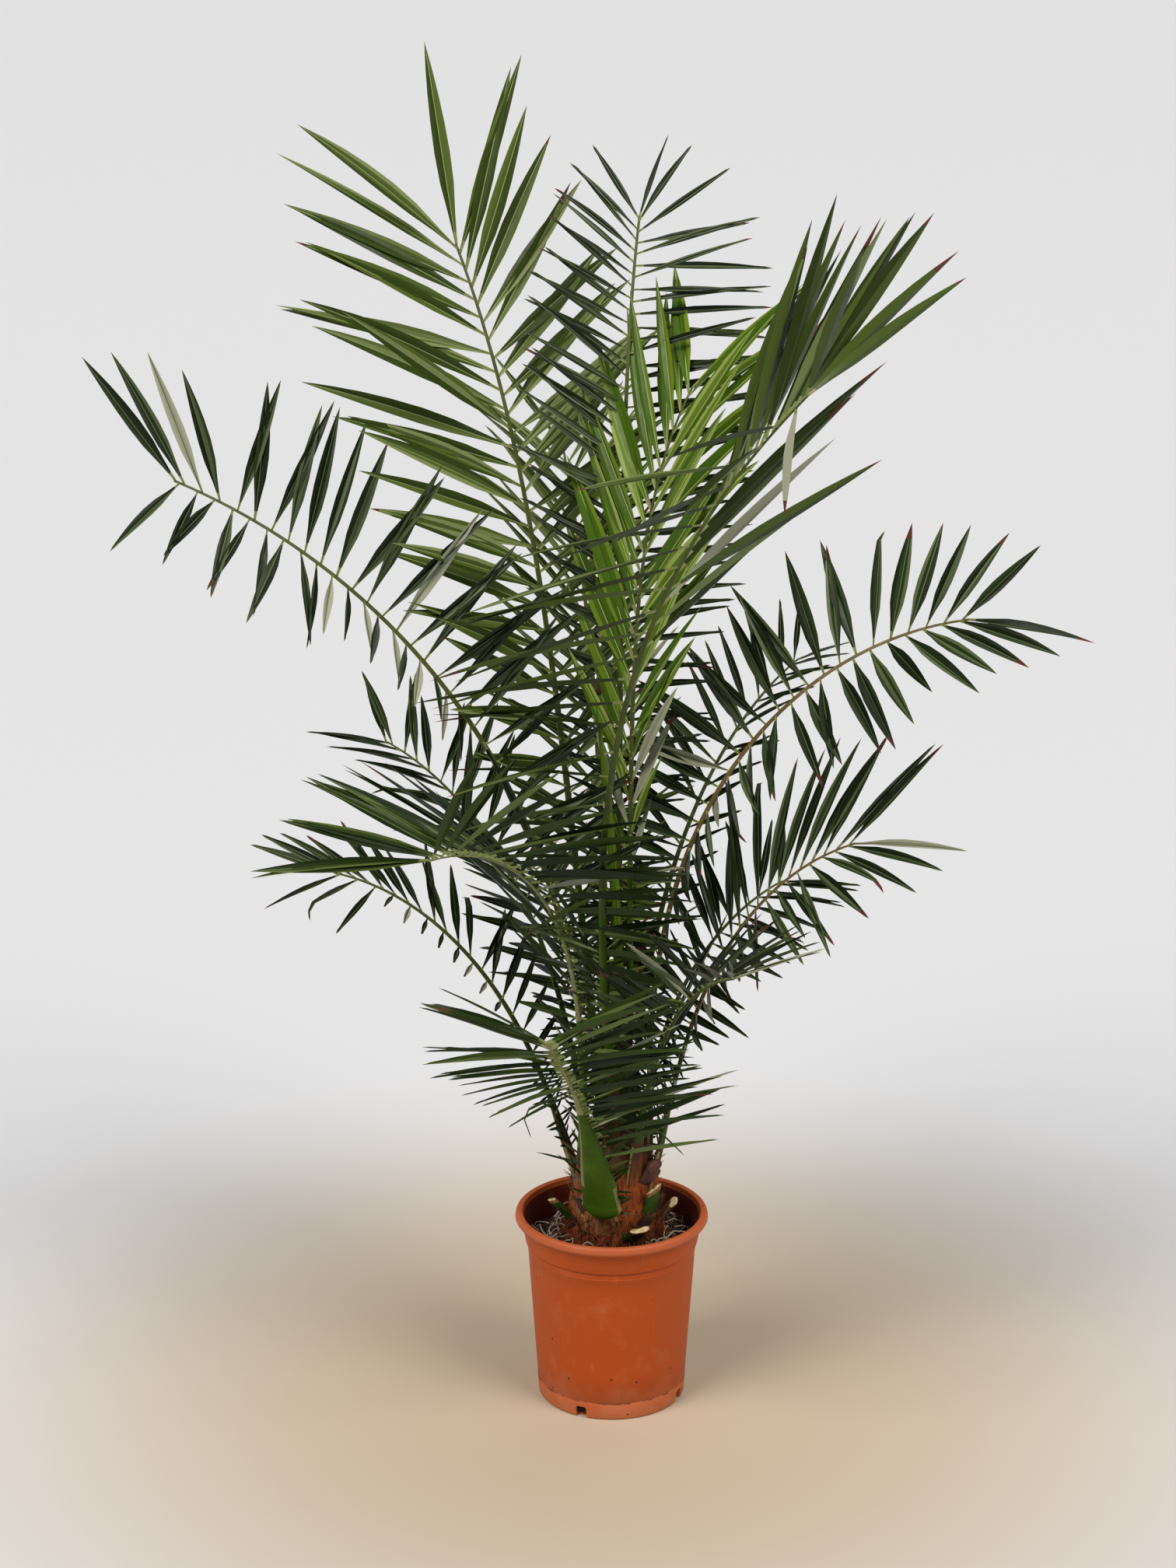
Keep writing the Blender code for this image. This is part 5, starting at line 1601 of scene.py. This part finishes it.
def make_stub(stub, chance):
    """The stump of a cut frond: round below and hollow above, as the leaf base was, with a
    slanting ragged cut. The skin stands as a thin rim round the cream pith, and fibres fray from
    its edges."""
    shape = Shape()
    skin, husk, pith, fibre, torn = 0, 1, 2, 3, 4
    out = compass(stub.angle)
    left = UP.cross(out)
    tilt = math.radians(stub.lean)
    along = out * math.sin(tilt) + UP * math.cos(tilt)
    up = UP * math.sin(tilt) - out * math.cos(tilt)
    foot = trunk_axis(stub.height) + out * stub.radius

    def section(share, shrink, drop):
        """Points round the stump at this share of its length, drawn in and sunk for the pith."""
        width = stub.width * along_table(STUB_TAPER, share) * shrink
        ring, grain = [], []
        for across, height in turns(STUB_SIDES):
            height *= 0.5
            if height > 0:
                height = height * 0.7 - 0.20 * math.exp(-((across / 0.45) ** 2))
            place = Vector((across * 3, height * 3, share * 4 + stub.angle))
            rough = 1 + 0.12 * noise.noise(place * 1.3) + 0.06 * noise.noise(place * 4)
            slant = 0.004 * across - 0.010 * height + 0.0022 * noise.noise(place * 2.5)
            reach = stub.length * share + slant * smooth((share - 0.5) * 2) - drop
            ring.append(foot + along * reach + left * across * rough * width / 2
                        + up * height * rough * width / 2)
            grain.append((across * width / 2, share * stub.length))
        return shape.ring(ring, grain)

    rings = [section(mix(-0.6, 1.0, row / STUB_ROWS), 1, 0) for row in range(STUB_ROWS + 1)]
    body = skin if stub.name in GREEN_STUBS else husk
    finishes = [husk] * STUB_HUSK_ROWS + [body] * (STUB_ROWS - STUB_HUSK_ROWS - 1) + [torn]
    for low, high, finish in zip(rings, rings[1:], finishes):
        shape.join(low, high, finish)
    shape.face(reversed(rings[0]), husk)
    edge = section(1.0, *PITH_RIM)
    sunk = section(1.0, PITH_MIDDLE, chance.uniform(*PITH_SUNK))
    shape.join(rings[-1], edge, torn)
    shape.join(edge, sunk, pith)
    shape.face(sunk, pith)
    for _ in range(STUB_BRISTLES):
        side = chance.choice((-1, 1))
        share = chance.uniform(-0.3, 0.9)
        start = foot + along * stub.length * share + left * side * stub.width * 0.48
        length = chance.uniform(*STUB_BRISTLE_LENGTHS)
        way = (along * chance.uniform(0.5, 1.2) + left * side * chance.uniform(0, 0.7)
               + up * chance.gauss(0, 0.3)).normalized()
        bristle(shape, start, way, length, STUB_BRISTLE_SAG, fibre)
    piece(f"{stub.name}_stump", shape, [STUB_GREEN, STUB_BARK, CUT_PITH, STRAND_DARK, STRAND_TAN],
          [stub.name], crease=55)


# Floor and light -------------------------------------------------------------------------

FLOOR_HALF = 160.0
FLOOR_WARM, FLOOR_PALE = "#C3B49E", "#D8DBE0"
FLOOR_PALES = (0.25, 1.15)  # from this far from the middle, to this far
# name, where it shines from, strength, how wide the source looks in degrees, colour
LAMPS = (
    ("left_light", (-2.1, -1.9, 3.3), 2.15, 30, "#FFF9F2"),
    ("right_light", (2.1, -1.8, 3.3), 1.8, 30, "#FFF9F2"),
    ("top_light", (0.3, 0.8, 4.0), 0.55, 40, "#FFFFFF"),
)
SKY_COLOUR = "#F4F6F8"
SKY_STRENGTH = 0.07


def painted_board(name, near, far):
    """Matt painted board, rolled on smooth: an even tone with hardly any gloss."""
    made, tree, shader = start_material(name, 0.75, 1.45)
    place = add(tree, "TexCoord", {}).outputs["Object"]
    distance = add(tree, "VectorMath", {0: place}, operation="LENGTH")
    away = add(tree, "MapRange", {
        "Value": distance, "From Min": FLOOR_PALES[0], "From Max": FLOOR_PALES[1]},
        interpolation_type="SMOOTHSTEP")
    tone = add(tree, "Mix", {"Factor": away, "A": near, "B": far}, data_type="RGBA")
    plug(shader, {"Base Color": tone})
    return made


def make_floor():
    """A seamless studio floor: warm under the pot, paler further off."""
    corners = [(-FLOOR_HALF, -FLOOR_HALF, 0), (FLOOR_HALF, -FLOOR_HALF, 0),
               (FLOOR_HALF, FLOOR_HALF, 0), (-FLOOR_HALF, FLOOR_HALF, 0)]
    mesh = bpy.data.meshes.new("floor")
    mesh.from_pydata(corners, [], [(0, 1, 2, 3)])
    mesh.materials.append(painted_board("painted_board", FLOOR_WARM, FLOOR_PALE))
    floor = bpy.data.objects.new("floor", mesh)
    bpy.context.scene.collection.objects.link(floor)


def make_lights():
    """Three broad soft lamps and a faint even sky."""
    for name, place, strength, spread, colour in LAMPS:
        lamp = bpy.data.lights.new(name, "SUN")
        lamp.energy = strength
        lamp.angle = math.radians(spread)
        lamp.color = linear(colour)[:3]
        made = bpy.data.objects.new(name, lamp)
        made.location = place
        made.rotation_euler = (-Vector(place)).to_track_quat("-Z", "Y").to_euler()
        bpy.context.scene.collection.objects.link(made)
    world = bpy.data.worlds.new("studio")
    world.use_nodes = True
    plug(world.node_tree.nodes["Background"], {"Color": SKY_COLOUR, "Strength": SKY_STRENGTH})
    bpy.context.scene.world = world
    bpy.context.scene.view_settings.view_transform = "Standard"


make_pot()
make_soil(random.Random(SEED + 100))
make_trunk(random.Random(SEED + 101))
make_fronds()
make_spear()
for order, stub in enumerate(STUBS):
    make_stub(stub, random.Random(SEED + 200 + order))
make_floor()
make_lights()
